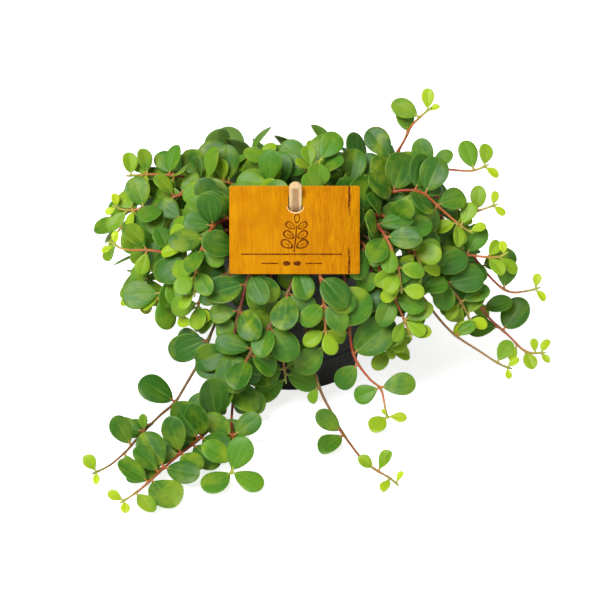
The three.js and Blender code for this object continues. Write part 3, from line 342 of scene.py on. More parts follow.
# Where a leaf's face points: out from the pot, up and to the front
facing = {
    "spreadFrom": 60, "spread": 0.55, "front": 0.5, "side": 0.35, "backFrom": 25, "backBy": 75, "up": 0.72,
    "low": 12, "lowUp": 0.5, "sway": (0.42, 0.35, 0.28), "placedSway": (0.38, 0.28, 0.28),
    "placed": (-0.6, 0.8), "hanging": (-0.85, 0.55),
    "placedOut": (0.42, 0.91), "hangingOut": (0.15, 0.95), "downMost": 0.6, "floor": (1.8, 4),
}


def wantedFace(point, draw):
    x, y, z = point
    out = math.hypot(x, y)
    spread = min(1, out / facing["spreadFrom"])
    behind = (y - facing["backFrom"]) / (facing["backBy"] - facing["backFrom"])
    front = facing["front"] if behind < 0 else mix(facing["side"], 0, min(1, behind))
    sideways, along, upwards = (mix(-most, most, draw()) for most in facing["sway"])
    return unit(np.array([
        facing["spread"] * spread * x / (out + 1) + sideways,
        facing["spread"] * spread * y / (out + 1) - front + along,
        facing["up"] + (facing["lowUp"] if z < facing["low"] else 0) + upwards,
    ]))


# Points spread over a blade, for testing what lies near it
bladeSpots = np.array([(0, 0)] + [
    (radius * math.cos(2 * math.pi * i / count), radius * math.sin(2 * math.pi * i / count))
    for count, radius in ((7, 0.46), (16, 0.95)) for i in range(count)
])


def spotsOf(leaf):
    share = (1 + bladeSpots[:, :1]) / 2
    aside = bladeSpots[:, 1:]
    rise = leaf["cup"] * leaf["wide"] * aside ** 2 - leaf["bend"] * leaf["long"] * share ** 2
    flat = (leaf["petiole"] + leaf["long"] * share) * leaf["out"]
    return leaf["at"] + (flat + 0.5 * leaf["wide"] * aside * leaf["side"]) + rise * leaf["face"]


# Points seen from the tag: right, up along the card, and out behind it
def fromTag(points):
    turn = math.radians(tag["leanDeg"])
    x, y, z = (np.atleast_2d(points) - np.array(tag["centre"])).T
    return x, z * math.cos(turn) + y * math.sin(turn), y * math.cos(turn) - z * math.sin(turn)


stakeX = tag["centre"][0] + tag["slotX"]
stakeRise = math.atan2(stake["slotY"] - stake["footY"], stake["slotZ"] - stake["bottom"])
stakeLong = (stake["top"] - stake["bottom"]) / math.cos(stakeRise)


def outerRadiusAt(z):
    return mix(pot["baseRadius"], pot["rimRadius"], z / pot["height"])


# How far leaves keep from the pot's rim and wall, the soil, the tag and the stake
keepOff = {
    "above": 2.6, "wall": 2.4, "farthest": 57, "rim": 46.5, "card": 1.8, "cardFace": 2.6, "stake": 2.2,
    "stakeFace": 2.8, "stakeTop": 2,
}


def hitsMadeThings(points):
    x, y, z = points.T
    out = np.hypot(x, y)
    hit = z < leafForm["floorClear"]
    wall = np.minimum(outerRadiusAt(z) + pot["lipOut"] + keepOff["wall"], keepOff["farthest"])
    byPot = (z < pot["height"] + keepOff["above"]) & (out < wall)
    hit |= byPot & ((out > keepOff["rim"]) | (z < soil["top"] + keepOff["wall"]))
    right, up, behind = fromTag(points)
    halfWide, halfHigh = tag["width"] / 2 + keepOff["card"], tag["height"] / 2 + keepOff["card"]
    hit |= (abs(right) < halfWide) & (abs(up) < halfHigh) & (abs(behind) < keepOff["cardFace"])
    stakeY = mix(stake["footY"], stake["slotY"], (z - stake["bottom"]) / (stake["slotZ"] - stake["bottom"]))
    halfWide = stake["width"] / 2 + keepOff["stake"]
    byStake = (abs(x - stakeX) < halfWide) & (abs(y - stakeY) < keepOff["stakeFace"])
    hit |= byStake & (z < stake["top"] + keepOff["stakeTop"])
    return hit.any()


# The tag's face stays in view: a leaf in front of it may only reach over its edge
def hidesTag(leaf):
    centre = leaf["at"] + leaf["out"] * (leaf["petiole"] + leaf["long"] / 2)
    right, up, behind = (value[0] for value in fromTag(centre))
    reach = leafForm["overTag"] * leaf["long"]
    return behind < 0 and abs(right) < tag["width"] / 2 + reach and abs(up) < tag["height"] / 2 + reach


# All that leaves have to keep clear of: a growing list of points, each with the stem it belongs to
class Taken:
    def __init__(self):
        room = 60000
        self.points = np.zeros((room, 3))
        self.owner, self.onStem = np.zeros(room, int), np.zeros(room, bool)
        self.count = 0

    def add(self, points, owner, onStem):
        here = slice(self.count, self.count + len(points))
        self.points[here], self.owner[here], self.onStem[here] = points, owner, onStem
        self.count += len(points)

    def near(self, at, reach):
        close = np.flatnonzero(np.all(abs(self.points[:self.count] - at) <= reach, axis=1))
        return self.points[close], self.owner[close], self.onStem[close]


def fits(leaf, s, taken, clear):
    if hidesTag(leaf):
        return False
    spots = spotsOf(leaf)
    if hitsMadeThings(spots):
        return False
    points, owner, onStem = taken.near(leaf["at"], leaf["long"] + leaf["petiole"] + leafForm["near"])
    least, until = leafForm["small"]
    share = mix(least, 1, min(1, leaf["long"] / until))
    need = np.where(owner == s, np.where(onStem, clear["ownStem"], clear["own"]) * share, clear["others"])
    far = ((spots[:, None] - points[None]) ** 2).sum(2)
    return not (far < need ** 2).any()


def bladeOn(stem, at, out, face, long, draw):
    radius = mix(stemForm["rootRadius"], stemForm["tipRadius"], at / (len(stem["line"]) - 1))
    turned = unit(face - (face @ out) * out)
    (shortest, until), (neck, widening, widest) = leafForm["smallPetiole"], leafForm["neck"]
    return {
        "at": stem["line"][at], "out": out, "face": turned, "side": np.cross(turned, out), "long": long,
        "wide": long * leafForm["widthShare"] * mix(*leafForm["wideSpread"], draw()),
        "petiole": mix(shortest, leafForm["petiole"], min(1, long / until)) + radius,
        "neck": min(widest, neck + widening * long),
        "bend": mix(*leafForm["bend"], draw()), "cup": mix(*leafForm["cup"], draw()),
    }


# The direction square to the stem in which one of its four walls faces
def wallDirection(stem, whorl, wallFace):
    _, side, across = stem["frames"][whorl["at"]]
    angle = whorl["twist"] + math.pi / 4 + (math.pi / 2) * wallFace
    return side * math.cos(angle) + across * math.sin(angle)


def findLeaf(stem, s, whorl, seed, wallFace, size, taken, clear):
    draw = seeded(seed)
    at = whorl["at"]
    ahead = stem["frames"][at][0]
    around = wallDirection(stem, whorl, wallFace)
    for attempt in range(leafForm["tries"]):
        face = wantedFace(stem["line"][at], draw)
        flat = around - leafForm["flatten"] * (around @ face) * face
        out = unit(flat + ahead * (leafForm["lean"] * mix(*leafForm["leanSpread"], draw())))
        grown = min(stem["full"] * mix(*leafForm["longSpread"], draw()), size)
        leaf = bladeOn(stem, at, out, face, grown * (1 - leafForm["shrink"] * attempt), draw)
        if out @ around > leafForm["offWall"] and fits(leaf, s, taken, clear):
            return leaf
    return None


# The place along a stem that is nearest to a place along its given points
def placeAlong(stem, place):
    via = stem["via"]
    i = min(int(place), len(via) - 2)
    before, after = np.array(via[i:i + 2], float)
    far = ((stem["line"] - (before + (place - i) * (after - before))) ** 2).sum(1)
    return min(max(int(np.argmin(far)), leafForm["firstOnStem"]), len(stem["line"]) - 2)


# A leaf whose direction is given as seen from the front. In front of the pot it hangs more upright, and
# low on the floor it can't point further down
def placedOut(angle, point, long):
    c, s = math.cos(angle), math.sin(angle)
    _, y, z = point
    if z < leafForm["lowStem"] and s < 0:
        floor, spare = facing["floor"]
        return unit(np.array([c, s, s * min(facing["downMost"], (z - floor) / (long + spare))]))
    back, up = facing["hangingOut" if y < leafForm["frontFrom"] else "placedOut"]
    return unit(np.array([c, back * s, up * s]))


def placedFace(point, draw):
    upright = point[1] < leafForm["frontFrom"] and point[2] >= leafForm["lowStem"]
    front, up = facing["hanging" if upright else "placed"]
    sideways, along, upwards = (mix(-most, most, draw()) for most in facing["placedSway"])
    return unit(np.array([sideways, along + front, upwards + up]))


def findPlacedLeaf(stem, s, whorls, row, seed, taken, clear):
    place, angle, long = row
    draw = seeded(seed)
    at = placeAlong(stem, place)
    _, side, across = stem["frames"][at]
    quarter = math.pi / 2
    for attempt in range(leafForm["tries"]):
        aside = leafForm["turnStep"] * ((attempt + 1) // 2) * (1 if attempt % 2 else -1)
        size = long * (1 - leafForm["placedShrink"] * attempt)
        out = placedOut(math.radians(angle + aside), stem["line"][at], size)
        face = placedFace(stem["line"][at], draw)
        leaf = bladeOn(stem, at, out, face, size, draw)
        turn = math.atan2(out @ across, out @ side) - math.pi / 4
        whorl = whorls.get(at)
        if whorl is None:
            whorl = {"at": at, "twist": turn - quarter * math.floor(turn / quarter + 0.5), "used": set()}
        wallFace = math.floor((turn - whorl["twist"]) / quarter + 0.5) % 4
        if wallFace in whorl["used"] or out @ wallDirection(stem, whorl, wallFace) < leafForm["offWall"]:
            continue
        if fits(leaf, s, taken, clear):
            whorl["used"].add(wallFace)
            whorls[at] = whorl
            return leaf
    return None


def keepLeaf(stem, s, leaf, taken):
    stem["leaves"].append(leaf)
    taken.add(spotsOf(leaf), s, False)


def placeLeaves(stem, s, taken, clear):
    whorls = {}
    for i, row in enumerate(stem.get("placed", [])):
        seed = seeds["placed"] + seeds["perStemPlaced"] * s + i
        leaf = findPlacedLeaf(stem, s, whorls, row, seed, taken, clear)
        if leaf:
            keepLeaf(stem, s, leaf, taken)
    return min(whorls) if whorls else len(stem["line"]) + leafForm["gap"]


# Leaves round one place on a stem, on opposite sides first. Without a number wanted, it is two or three
def growWhorl(stem, s, w, back, draw, form, taken, wanted=None):
    whorl = {"at": len(stem["line"]) - 1 - back, "twist": (math.pi / 2) * draw() - math.pi / 4}
    if wanted is None:
        wanted = 3 if w > 1 and draw() < leafForm["threes"] else 2
    size = form["tip"] + form["growth"] * back * stemForm["step"]
    grown = 0
    for face in ((1, 3, 0, 2) if w % 2 else (0, 2, 1, 3)):
        seed = form["leafSeed"] + seeds["perStem"] * s + seeds["perWhorl"] * w + face
        leaf = findLeaf(stem, s, whorl, seed, face, size, taken, form["clear"]) if grown < wanted else None
        if leaf:
            keepLeaf(stem, s, leaf, taken)
            grown += 1
    return grown


# Leaves in twos and threes along each stem, small at its tip, each in the clear
def growLeaves(stems, taken):
    for s, stem in enumerate(stems):
        taken.add(stem["line"], s, True)
        stem["leaves"] = []
    placedFrom = [placeLeaves(stem, s, taken, leafForm["clear"]) for s, stem in enumerate(stems)]
    for s, stem in enumerate(stems):
        form = {**leafForm, "tip": stem.get("tip", leafForm["tip"])}
        for w, back in enumerate(leafForm["whorlsFromTip"]):
            at = len(stem["line"]) - 1 - back
            if at < leafForm["firstOnStem"] or at > placedFrom[s] - leafForm["gap"]:
                continue
            if stem["line"][at][2] < soil["top"] + leafForm["overSoil"] and at < leafForm["overSoilUntil"]:
                continue
            draw = seeded(seeds["whorl"] + seeds["perStemWhorl"] * s + w)
            if w < 3 or draw() >= stem.get("bare", 0):
                growWhorl(stem, s, w, back, draw, form, taken)


# More leaves between the first ones, closer together
fillers = {
    "whorlsFromTip": (4, 9, 14, 20, 27, 34, 41, 48, 55, 62, 69, 76, 83), "firstOnStem": 6,
    "tip": 8, "growth": 0.24, "trailing": 40, "trailingFrom": 13, "most": 3,
    "sparse": ("tallShoot", "upperRight", "longRight", "farRight", "farRightUpper", "frontLeftLong",
               "frontCentre", "frontRight", "midRight", "leftRed"), "sparseBelow": 30, "sparseFrom": 30,
    "clear": {"others": 1.6, "own": 1.4, "ownStem": 1.6}, "whorlSeed": 50000, "leafSeed": 100000,
}


def growFillers(stems, taken):
    count = 0
    for s, stem in enumerate(stems):
        for w, back in enumerate(fillers["whorlsFromTip"]):
            at = len(stem["line"]) - 1 - back
            if at < fillers["firstOnStem"]:
                continue
            height = stem["line"][at][2]
            if height < fillers["trailing"] and back < fillers["trailingFrom"]:
                continue
            near = height < fillers["sparseBelow"] or back < fillers["sparseFrom"]
            if stem["name"] in fillers["sparse"] and near:
                continue
            draw = seeded(fillers["whorlSeed"] + seeds["perStemWhorl"] * s + w)
            if draw() >= stem.get("bare", 0):
                count += growWhorl(stem, s, w, back, draw, fillers, taken, fillers["most"])
    return count


# Gathers points, faces and their values, and makes them one mesh object
class Shape:
    def __init__(self):
        self.points, self.faces, self.finish = [], [], []
        self.spots, self.growth = [], []
        self.count = 0

    def add(self, points, faces, finish=0, spots=None, growth=(0, 0, 0)):
        points = np.asarray(points, float)
        self.points.append(points)
        self.faces.extend([tuple(self.count + k for k in face) for face in faces])
        self.finish.extend([finish] * len(faces))
        self.spots.append(np.zeros((len(points), 3)) if spots is None else np.asarray(spots, float))
        self.growth.append(np.broadcast_to(np.asarray(growth, float), (len(points), 3)))
        self.count += len(points)

    def make(self, name, materials, smooth=True):
        mesh = bpy.data.meshes.new(name)
        mesh.from_pydata((np.vstack(self.points) * mm).tolist(), [], self.faces)
        mesh.polygons.foreach_set("material_index", self.finish)
        mesh.polygons.foreach_set("use_smooth", [smooth] * len(self.faces))
        for label, values in (("spot", self.spots), ("growth", self.growth)):
            attribute = mesh.attributes.new(label, "FLOAT_VECTOR", "POINT")
            attribute.data.foreach_set("vector", np.vstack(values).ravel())
        for material in materials:
            mesh.materials.append(material)
        mesh.update()
        piece = bpy.data.objects.new(name, mesh)
        bpy.context.scene.collection.objects.link(piece)
        return piece


# A tube round a line, with its own radius at each point and closed ends
def tube(line, frames, radii, sides):
    turn = 2 * math.pi * np.arange(sides) / sides
    points = []
    for centre, (_, side, across), radius in zip(line, frames, radii):
        points.append(centre + radius * (np.outer(np.cos(turn), side) + np.outer(np.sin(turn), across)))
    faces = []
    for i in range(len(line) - 1):
        for j in range(sides):
            k = (j + 1) % sides
            low, high = i * sides, (i + 1) * sides
            faces.append((low + j, low + k, high + k, high + j))
    faces.append(tuple(range(sides - 1, -1, -1)))
    last = (len(line) - 1) * sides
    faces.append(tuple(last + j for j in range(sides)))
    return np.vstack(points), faces


# One blade as a grid: rows from base to tip, columns from rim to rim, closer at the rim and the midrib
blade = {
    "rows": 12,
    "columns": (-1, -0.96, -0.85, -0.66, -0.42, -0.2, -0.07, 0, 0.07, 0.2, 0.42, 0.66, 0.85, 0.96, 1),
    "groove": 0.14, "rib": 0.2, "youngThick": 0.75, "fold": 0.5, "wave": 0.07, "wedge": (0.05, 0.5),
    "smallest": 5.5, "grown": 17, "dark": 42, "byPlace": 0.34, "base": 0.62, "obovate": (1, 1.3),
    "wedgeSmall": (1.4, 0.7, 20), "foldLarge": (0.3, 18), "youngTo": 14, "ribWide": 0.1, "ageSpread": 0.1,
    "stemDark": 120,
}


def bladeFaces():
    rows, wide = blade["rows"], len(blade["columns"])
    tip = rows * wide
    top = lambda i, j: i * wide + j
    under = lambda i, j: top(i, j) if j in (0, wide - 1) else tip + 1 + i * (wide - 2) + j - 1
    faces = []
    for j in range(wide - 1):
        for i in range(rows - 1):
            faces.append((top(i, j), top(i + 1, j), top(i + 1, j + 1), top(i, j + 1)))
            faces.append((under(i, j), under(i, j + 1), under(i + 1, j + 1), under(i + 1, j)))
        faces.append((top(rows - 1, j), tip, top(rows - 1, j + 1)))
        faces.append((under(rows - 1, j), under(rows - 1, j + 1), tip))
        faces.append(tuple(dict.fromkeys((top(0, j), top(0, j + 1), under(0, j + 1), under(0, j)))))
    return faces


bladeFaceList = bladeFaces()


# Height of a leaf's middle surface over its flat plane
def bladeRise(leaf, along, across):
    sag = -leaf["bend"] * leaf["long"] * along ** 2
    return sag + leaf["cup"] * leaf["wide"] * (2 * across / leaf["wide"]) ** 2


def addBlade(shape, leaf, fromTip, draw):
    long, wide = leaf["long"], leaf["wide"]
    short, large, until = blade["wedgeSmall"]
    obovate = mix(*blade["obovate"], draw())
    wedge = mix(*blade["wedge"], draw()) * mix(short, large, min(1, long / until))
    fold = blade["fold"] * draw() * mix(1, blade["foldLarge"][0], min(1, long / blade["foldLarge"][1]))
    wave, phase = blade["wave"] * draw(), 2 * math.pi * draw()
    thick = leafForm["thickness"] * mix(blade["youngThick"], 1, min(1, long / blade["youngTo"])) / 2
    columns = np.array(blade["columns"])
    s = -np.cos(np.pi * np.arange(blade["rows"] + 1) / blade["rows"])
    t = ((s + 1) / 2) ** (1 / obovate)
    oval = 0.5 * wide * np.sqrt(np.maximum(0, 1 - s ** 2)) * (1 - wedge * (1 - t) ** 3)
    half = np.hypot(oval, leaf["neck"] * (1 - t) ** 3)
    swing, across = np.meshgrid(s, columns, indexing="ij")
    along = np.repeat(t[:, None], len(columns), 1)
    y = half[:, None] * across
    base = blade["base"] * leaf["petiole"]
    x = base + along * (leaf["petiole"] + long - base)
    ripple = wave * wide * across ** 2 * np.sin(5 * along + phase + 1.5 * np.sign(across)) * along
    rise = bladeRise(leaf, along, y) + fold * abs(y) + ripple
    plump = np.sqrt(np.maximum(0, 1 - (swing ** 2 + across ** 2 * (1 - swing ** 2)) ** 2))
    plump = np.hypot(thick * plump, 0.5 * leaf["neck"] * (1 - along) ** 3 * np.sqrt(1 - across ** 2))
    ribShare = np.exp(-(across / blade["ribWide"]) ** 2) * (1 - along)
    place = lambda z: (leaf["at"] + x[..., None] * leaf["out"] + y[..., None] * leaf["side"]
                       + z[..., None] * leaf["face"])
    upper = place(rise + plump - blade["groove"] * ribShare)
    lower = place(rise - plump - blade["rib"] * ribShare)
    spot = lambda side: np.stack([along, across, np.full_like(along, side)], axis=-1)
    middle = len(columns) // 2
    points = np.vstack([upper[:-1].reshape(-1, 3), upper[-1, middle][None], lower[:-1, 1:-1].reshape(-1, 3)])
    spots = np.vstack([spot(1)[:-1].reshape(-1, 3), [(1, 0, 0.5)], spot(0)[:-1, 1:-1].reshape(-1, 3)])
    size = (long - blade["smallest"]) / (blade["grown"] - blade["smallest"])
    age = mix(min(1, size), min(1, fromTip / blade["dark"]), blade["byPlace"])
    age = min(1, max(0, age + mix(-blade["ageSpread"], blade["ageSpread"], draw())))
    shape.add(points, bladeFaceList, 0, spots, (age, draw(), draw()))


# The stalk of a leaf, from inside the stem to under the blade, where it thins out as the midrib
petioleForm = {
    "sides": 7, "reach": (0, 0.35, 0.75, 1, 1.35), "radii": (0.95, 0.62, 0.56, 0.6, 0.2),
    "ages": (1, 0.6, 0.35, 0.2), "small": 0.6, "largeFrom": 13, "sink": 0.35,
}


def addPetiole(shape, leaf, stemAge):
    share = min(1, leaf["long"] / petioleForm["largeFrom"])
    line, frames, radii = [], [], []
    for reach, radius in zip(petioleForm["reach"], petioleForm["radii"]):
        x = reach * leaf["petiole"]
        along = max(0, x - leaf["petiole"]) / leaf["long"]
        rise = bladeRise(leaf, along, 0) - (petioleForm["sink"] if reach > 1 else 0)
        line.append(leaf["at"] + x * leaf["out"] + rise * leaf["face"])
        frames.append((leaf["out"], leaf["side"], leaf["face"]))
        radii.append(radius * mix(petioleForm["small"], 1, share))
    points, faces = tube(line, frames, radii, petioleForm["sides"])
    ages = np.repeat([k * stemAge for k in petioleForm["ages"]] + [0.1], petioleForm["sides"])
    growth = np.column_stack([ages, np.zeros((len(points), 2)) + 0.5])
    shape.add(points, faces, 1, None, growth)


def addStem(shape, stem, hue):
    line = stem["line"]
    fine = [line[0]]
    for a, b in zip(line, line[1:]):
        fine += [(a + b) / 2, b]
    fine = np.array(fine)
    fine[1:-1] = 0.25 * fine[:-2] + 0.5 * fine[1:-1] + 0.25 * fine[2:]
    frames = stemFrames(fine)
    share = np.linspace(0, 1, len(fine))
    radii = mix(stemForm["rootRadius"], stemForm["tipRadius"], share) * stemForm["roundness"]
    swell = np.zeros(len(fine))
    for leaf in stem["leaves"]:
        far = np.linalg.norm(fine - leaf["at"], axis=1)
        swell = np.maximum(swell, np.exp(-(far / stemForm["nodeReach"]) ** 2))
    radii = radii * (1 + stemForm["nodeSwell"] * swell)
    radii[-1] *= stemForm["tipRound"]
    points, faces = tube(fine, frames, radii, stemForm["sides"])
    fromTip = np.minimum(1, (1 - share) * len(line) * stemForm["step"] / blade["stemDark"])
    growth = np.column_stack([np.repeat(fromTip, stemForm["sides"]), np.full(len(points), hue),
                              np.repeat(swell, stemForm["sides"])])
    shape.add(points, faces, 1, None, growth)


# How far these stems have turned from red to olive
olive = {"longRight": 0.95, "frontLeftLong": 0.9, "hangRight": 0.9, "frontCentre": 0.85, "leftLow": 0.8}


def makeLeafyStem(stem, s, materials):
    draw = seeded(seeds["look"] + s)
    shape = Shape()
    addStem(shape, stem, olive.get(stem["name"], stemForm["hueSpread"] * draw()))
    last = len(stem["line"]) - 1
    for leaf in stem["leaves"]:
        at = np.argmin(np.linalg.norm(stem["line"] - leaf["at"], axis=1))
        fromTip = (last - at) * stemForm["step"]
        addBlade(shape, leaf, fromTip, draw)
        addPetiole(shape, leaf, min(1, fromTip / blade["stemDark"]))
    piece = shape.make(stem["name"] + "Foliage", materials)
    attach(piece, "root")
    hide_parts(stem["name"])


# Shader helpers: each adds one node and joins its inputs
class Nodes:
    def __init__(self, tree):
        self.tree = tree

    def join(self, node, inputs):
        for key, value in inputs.items():
            if isinstance(value, bpy.types.NodeSocket):
                self.tree.links.new(value, node.inputs[key])
            else:
                node.inputs[key].default_value = value

    def add(self, kind, inputs, **settings):
        node = self.tree.nodes.new(kind)
        for key, value in settings.items():
            setattr(node, key, value)
        self.join(node, inputs)
        return node

    def math(self, operation, a, b=0.0):
        return self.add("ShaderNodeMath", {0: a, 1: b}, operation=operation).outputs[0]

    def times(self, a, b):
        return self.math("MULTIPLY", a, b)

    def off(self, a, b):
        return self.math("ABSOLUTE", self.math("SUBTRACT", a, b))

    def span(self, value, low, high, outLow=0.0, outHigh=1.0, smooth=False):
        kind = "SMOOTHSTEP" if smooth else "LINEAR"
        inputs = {"Value": value, "From Min": low, "From Max": high, "To Min": outLow, "To Max": outHigh}
        return self.add("ShaderNodeMapRange", inputs, interpolation_type=kind).outputs[0]

    def blend(self, factor, a, b):
        return self.add("ShaderNodeMix", {0: factor, 6: a, 7: b}, data_type="RGBA").outputs[2]

    # a colour over another, as far as a mask and a share say
    def over(self, body, colour, mask, share):
        return self.blend(self.times(mask, share), body, colour)

    def ramp(self, factor, stops):
        node = self.add("ShaderNodeValToRGB", {0: factor})
        while len(node.color_ramp.elements) < len(stops):
            node.color_ramp.elements.new(0.5)
        for element, (place, colour) in zip(node.color_ramp.elements, stops):
            element.position, element.color = place, colour
        return node.outputs[0]

    def attribute(self, name):
        settings = {"attribute_name": name, "attribute_type": "GEOMETRY"}
        return self.add("ShaderNodeAttribute", {}, **settings).outputs["Vector"]

    def split(self, vector):
        return self.add("ShaderNodeSeparateXYZ", {0: vector}).outputs

    def place(self, scale=1.0, stretch=(1, 1, 1)):
        found = self.add("ShaderNodeTexCoord", {}).outputs["Object"]
        size = [scale * k for k in stretch]
        return self.add("ShaderNodeMapping", {"Vector": found, "Scale": size}).outputs[0]

    def noise(self, vector, scale, detail=3.0, rough=0.5, distortion=0.0):
        inputs = {"Vector": vector, "Scale": scale, "Detail": detail, "Roughness": rough}
        return self.add("ShaderNodeTexNoise", {**inputs, "Distortion": distortion}).outputs[0]

    def bump(self, height, strength, distance):
        inputs = {"Height": height, "Strength": strength, "Distance": distance}
        return self.add("ShaderNodeBump", inputs).outputs[0]


# A colour given as it looks on screen, 0 to 255, as the linear one that the shader takes
def seen(r, g, b):
    toLinear = lambda c: c / 12.92 if c <= 0.04045 else ((c + 0.055) / 1.055) ** 2.4
    linear = [toLinear(c / 255) for c in (r, g, b)]
    return (*linear, 1)


# A shader group from its inputs (name, kind, first value) and the names of its outputs
def newGroup(name, inputs, outputs):
    group = bpy.data.node_groups.new(name, "ShaderNodeTree")
    for label, kind, value in inputs:
        socket = group.interface.new_socket(name=label, in_out="INPUT", socket_type="NodeSocket" + kind)
        if value is not None:
            socket.default_value = value
    for label in outputs:
        group.interface.new_socket(name=label, in_out="OUTPUT", socket_type="NodeSocketFloat")
    nodes = Nodes(group)
    return group, nodes, nodes.add("NodeGroupInput", {}).outputs, nodes.add("NodeGroupOutput", {})


# Cloudy patches at two sizes, as a mask and as fine relief
def makeMottle():
    floats = [("Scale", "Float", 60), ("Low", "Float", 0.4), ("High", "Float", 0.65)]
    group, nodes, given, end = newGroup("mottle", [("Vector", "Vector", None), *floats], ["Mask", "Relief"])
    wide = nodes.noise(given["Vector"], given["Scale"], 2.5, 0.55, 0.3)
    fine = nodes.noise(given["Vector"], nodes.times(given["Scale"], 9), 2)
    nodes.join(end, {"Mask": nodes.span(wide, given["Low"], given["High"], smooth=True), "Relief": fine})
    return group


# Wood grain along one direction: soft bands, thin dark pores and a relief that follows them
def makeWoodGrain():
    inputs = [("Vector", "Vector", None), ("Scale", "Float", 1)]
    group, nodes, given, end = newGroup("woodGrain", inputs, ["Bands", "Pores", "Relief"])
    inputs = {0: given["Vector"], "Scale": given["Scale"]}
    scaled = nodes.add("ShaderNodeVectorMath", inputs, operation="SCALE")
    along = lambda share: nodes.add(
        "ShaderNodeMapping", {"Vector": scaled.outputs[0], "Scale": (1, share, 0.4)}).outputs[0]
    squeezed = along(0.06)
    bands = nodes.noise(squeezed, 0.32, 3, 0.6, 0.8)
    lines = nodes.noise(squeezed, 2.1, 3, 0.65, 0.2)
    pores = nodes.span(nodes.noise(along(0.02), 3.4, 2), 0.6, 0.74, smooth=True)
    relief = nodes.math("SUBTRACT", lines, nodes.times(pores, 0.5))
    nodes.join(end, {"Bands": bands, "Pores": pores, "Relief": relief})
    return group


def newMaterial(name):
    material = bpy.data.materials.new(name)
    material.use_nodes = True
    return material, Nodes(material.node_tree), material.node_tree.nodes["Principled BSDF"]


def useGroup(nodes, group, **inputs):
    return nodes.add("ShaderNodeGroup", inputs, node_tree=group).outputs


# Patches of a given scale, with the values between which they fade in
def patchy(nodes, mottle, form, vector=None):
    scale, low, high = form
    place = nodes.place() if vector is None else vector
    return useGroup(nodes, mottle, Vector=place, Scale=scale, Low=low, High=high)


# Joins the colour, the roughness as a span of the relief, and the relief to the shader
def finishMaterial(nodes, shader, body, relief, look, height=None):
    rough = nodes.span(relief, *look["rough"])
    bump = nodes.bump(relief if height is None else height, *look["bump"])
    nodes.join(shader, {"Base Color": body, "Roughness": rough, "Normal": bump})
    nodes.join(shader, {"Specular IOR Level": look["specular"]})


leafLook = {
    "ages": (
        (0, seen(188, 210, 24)), (0.28, seen(142, 178, 28)), (0.62, seen(84, 138, 28)),
        (1, seen(52, 104, 22))),
    "sunny": seen(158, 178, 34), "shade": seen(38, 90, 34), "under": seen(124, 160, 74),
    "vein": seen(120, 164, 58), "rim": seen(150, 184, 70), "patches": (95, 0.4, 0.66),
    "clouds": (33, 0.42, 0.62), "sunnyShare": (0.1, 0.62), "shadeShare": (0, 0.5), "shadeFrom": (0.3, 0.8),
    "midrib": (0.02, 0.1), "veinAt": 0.5, "veinWide": (0.015, 0.085), "veinShare": 0.6,
    "veinFade": (0.1, 0.95, 0.5, 0), "edge": (0.9, 0.985), "tipEdge": (0.965, 1), "edgeShare": 0.35,
    "underShare": (0, 0.6, 0.75, 0), "fine": 0.5, "veinDepth": -1.6, "rough": (0.3, 0.7, 0.37, 0.52),
    "bump": (0.5, 0.00012), "specular": 0.3, "glowWeight": 0.12, "glowRadius": (0.35, 0.7, 0.12),
    "glowScale": 0.0025,
}


def makeLeafMaterial(mottle):
    look = leafLook
    material, nodes, shader = newMaterial("succulentLeaf")
    along, across, upper = nodes.split(nodes.attribute("spot"))
    age, tint, hue = nodes.split(nodes.attribute("growth"))
    patches, clouds = (patchy(nodes, mottle, look[key]) for key in ("patches", "clouds"))
    body = nodes.ramp(age, look["ages"])
    body = nodes.over(body, look["sunny"], patches["Mask"], nodes.span(tint, 0, 1, *look["sunnyShare"]))
    dark = nodes.times(clouds["Mask"], nodes.span(hue, 0, 1, *look["shadeShare"]))
    body = nodes.over(body, look["shade"], dark, nodes.span(age, *look["shadeFrom"]))
    # three pale veins that bow out from the base and meet towards the tip
    aside = nodes.math("ABSOLUTE", across)
    midrib = nodes.span(aside, *look["midrib"], 1, 0, smooth=True)
    fromSecond = nodes.off(aside, look["veinAt"])
    second = nodes.span(fromSecond, *look["veinWide"], look["veinShare"], 0, smooth=True)
    veins = nodes.times(nodes.math("MAXIMUM", midrib, second), nodes.span(along, *look["veinFade"]))
    body = nodes.blend(veins, body, look["vein"])
    edge = nodes.math("MAXIMUM", nodes.span(aside, *look["edge"]), nodes.span(along, *look["tipEdge"]))
    body = nodes.over(body, look["rim"], edge, look["edgeShare"])
    body = nodes.blend(nodes.span(upper, *look["underShare"]), body, look["under"])
    fine = nodes.times(patches["Relief"], look["fine"])
    height = nodes.math("ADD", fine, nodes.times(veins, look["veinDepth"]))
    finishMaterial(nodes, shader, body, patches["Relief"], look, height)
    for key in ("Weight", "Radius", "Scale"):
        shader.inputs["Subsurface " + key].default_value = look["glow" + key]
    return material


stemLook = {
    "ages": (
        (0, seen(176, 196, 70)), (0.12, seen(204, 116, 62)), (0.32, seen(182, 64, 42)),
        (1, seen(112, 44, 32))),
    "fleck": seen(112, 44, 32), "olive": seen(122, 112, 52), "node": seen(120, 140, 60),
    "flecks": (260, 0.5, 0.7), "oliveFrom": (0.62, 0.95, 0, 0.7), "fleckShare": 0.35, "nodeShare": 0.35,
    "rough": (0.3, 0.7, 0.36, 0.5), "bump": (0.5, 0.00015), "specular": 0.45,
}


def makeStemMaterial(mottle):
    look = stemLook
    material, nodes, shader = newMaterial("redStem")
    age, hue, swell = nodes.split(nodes.attribute("growth"))
    flecks = patchy(nodes, mottle, look["flecks"])
    body = nodes.ramp(age, look["ages"])
    body = nodes.blend(nodes.span(hue, *look["oliveFrom"]), body, look["olive"])
    body = nodes.over(body, look["fleck"], flecks["Mask"], look["fleckShare"])
    body = nodes.over(body, look["node"], swell, look["nodeShare"])
    finishMaterial(nodes, shader, body, flecks["Relief"], look)
    return material


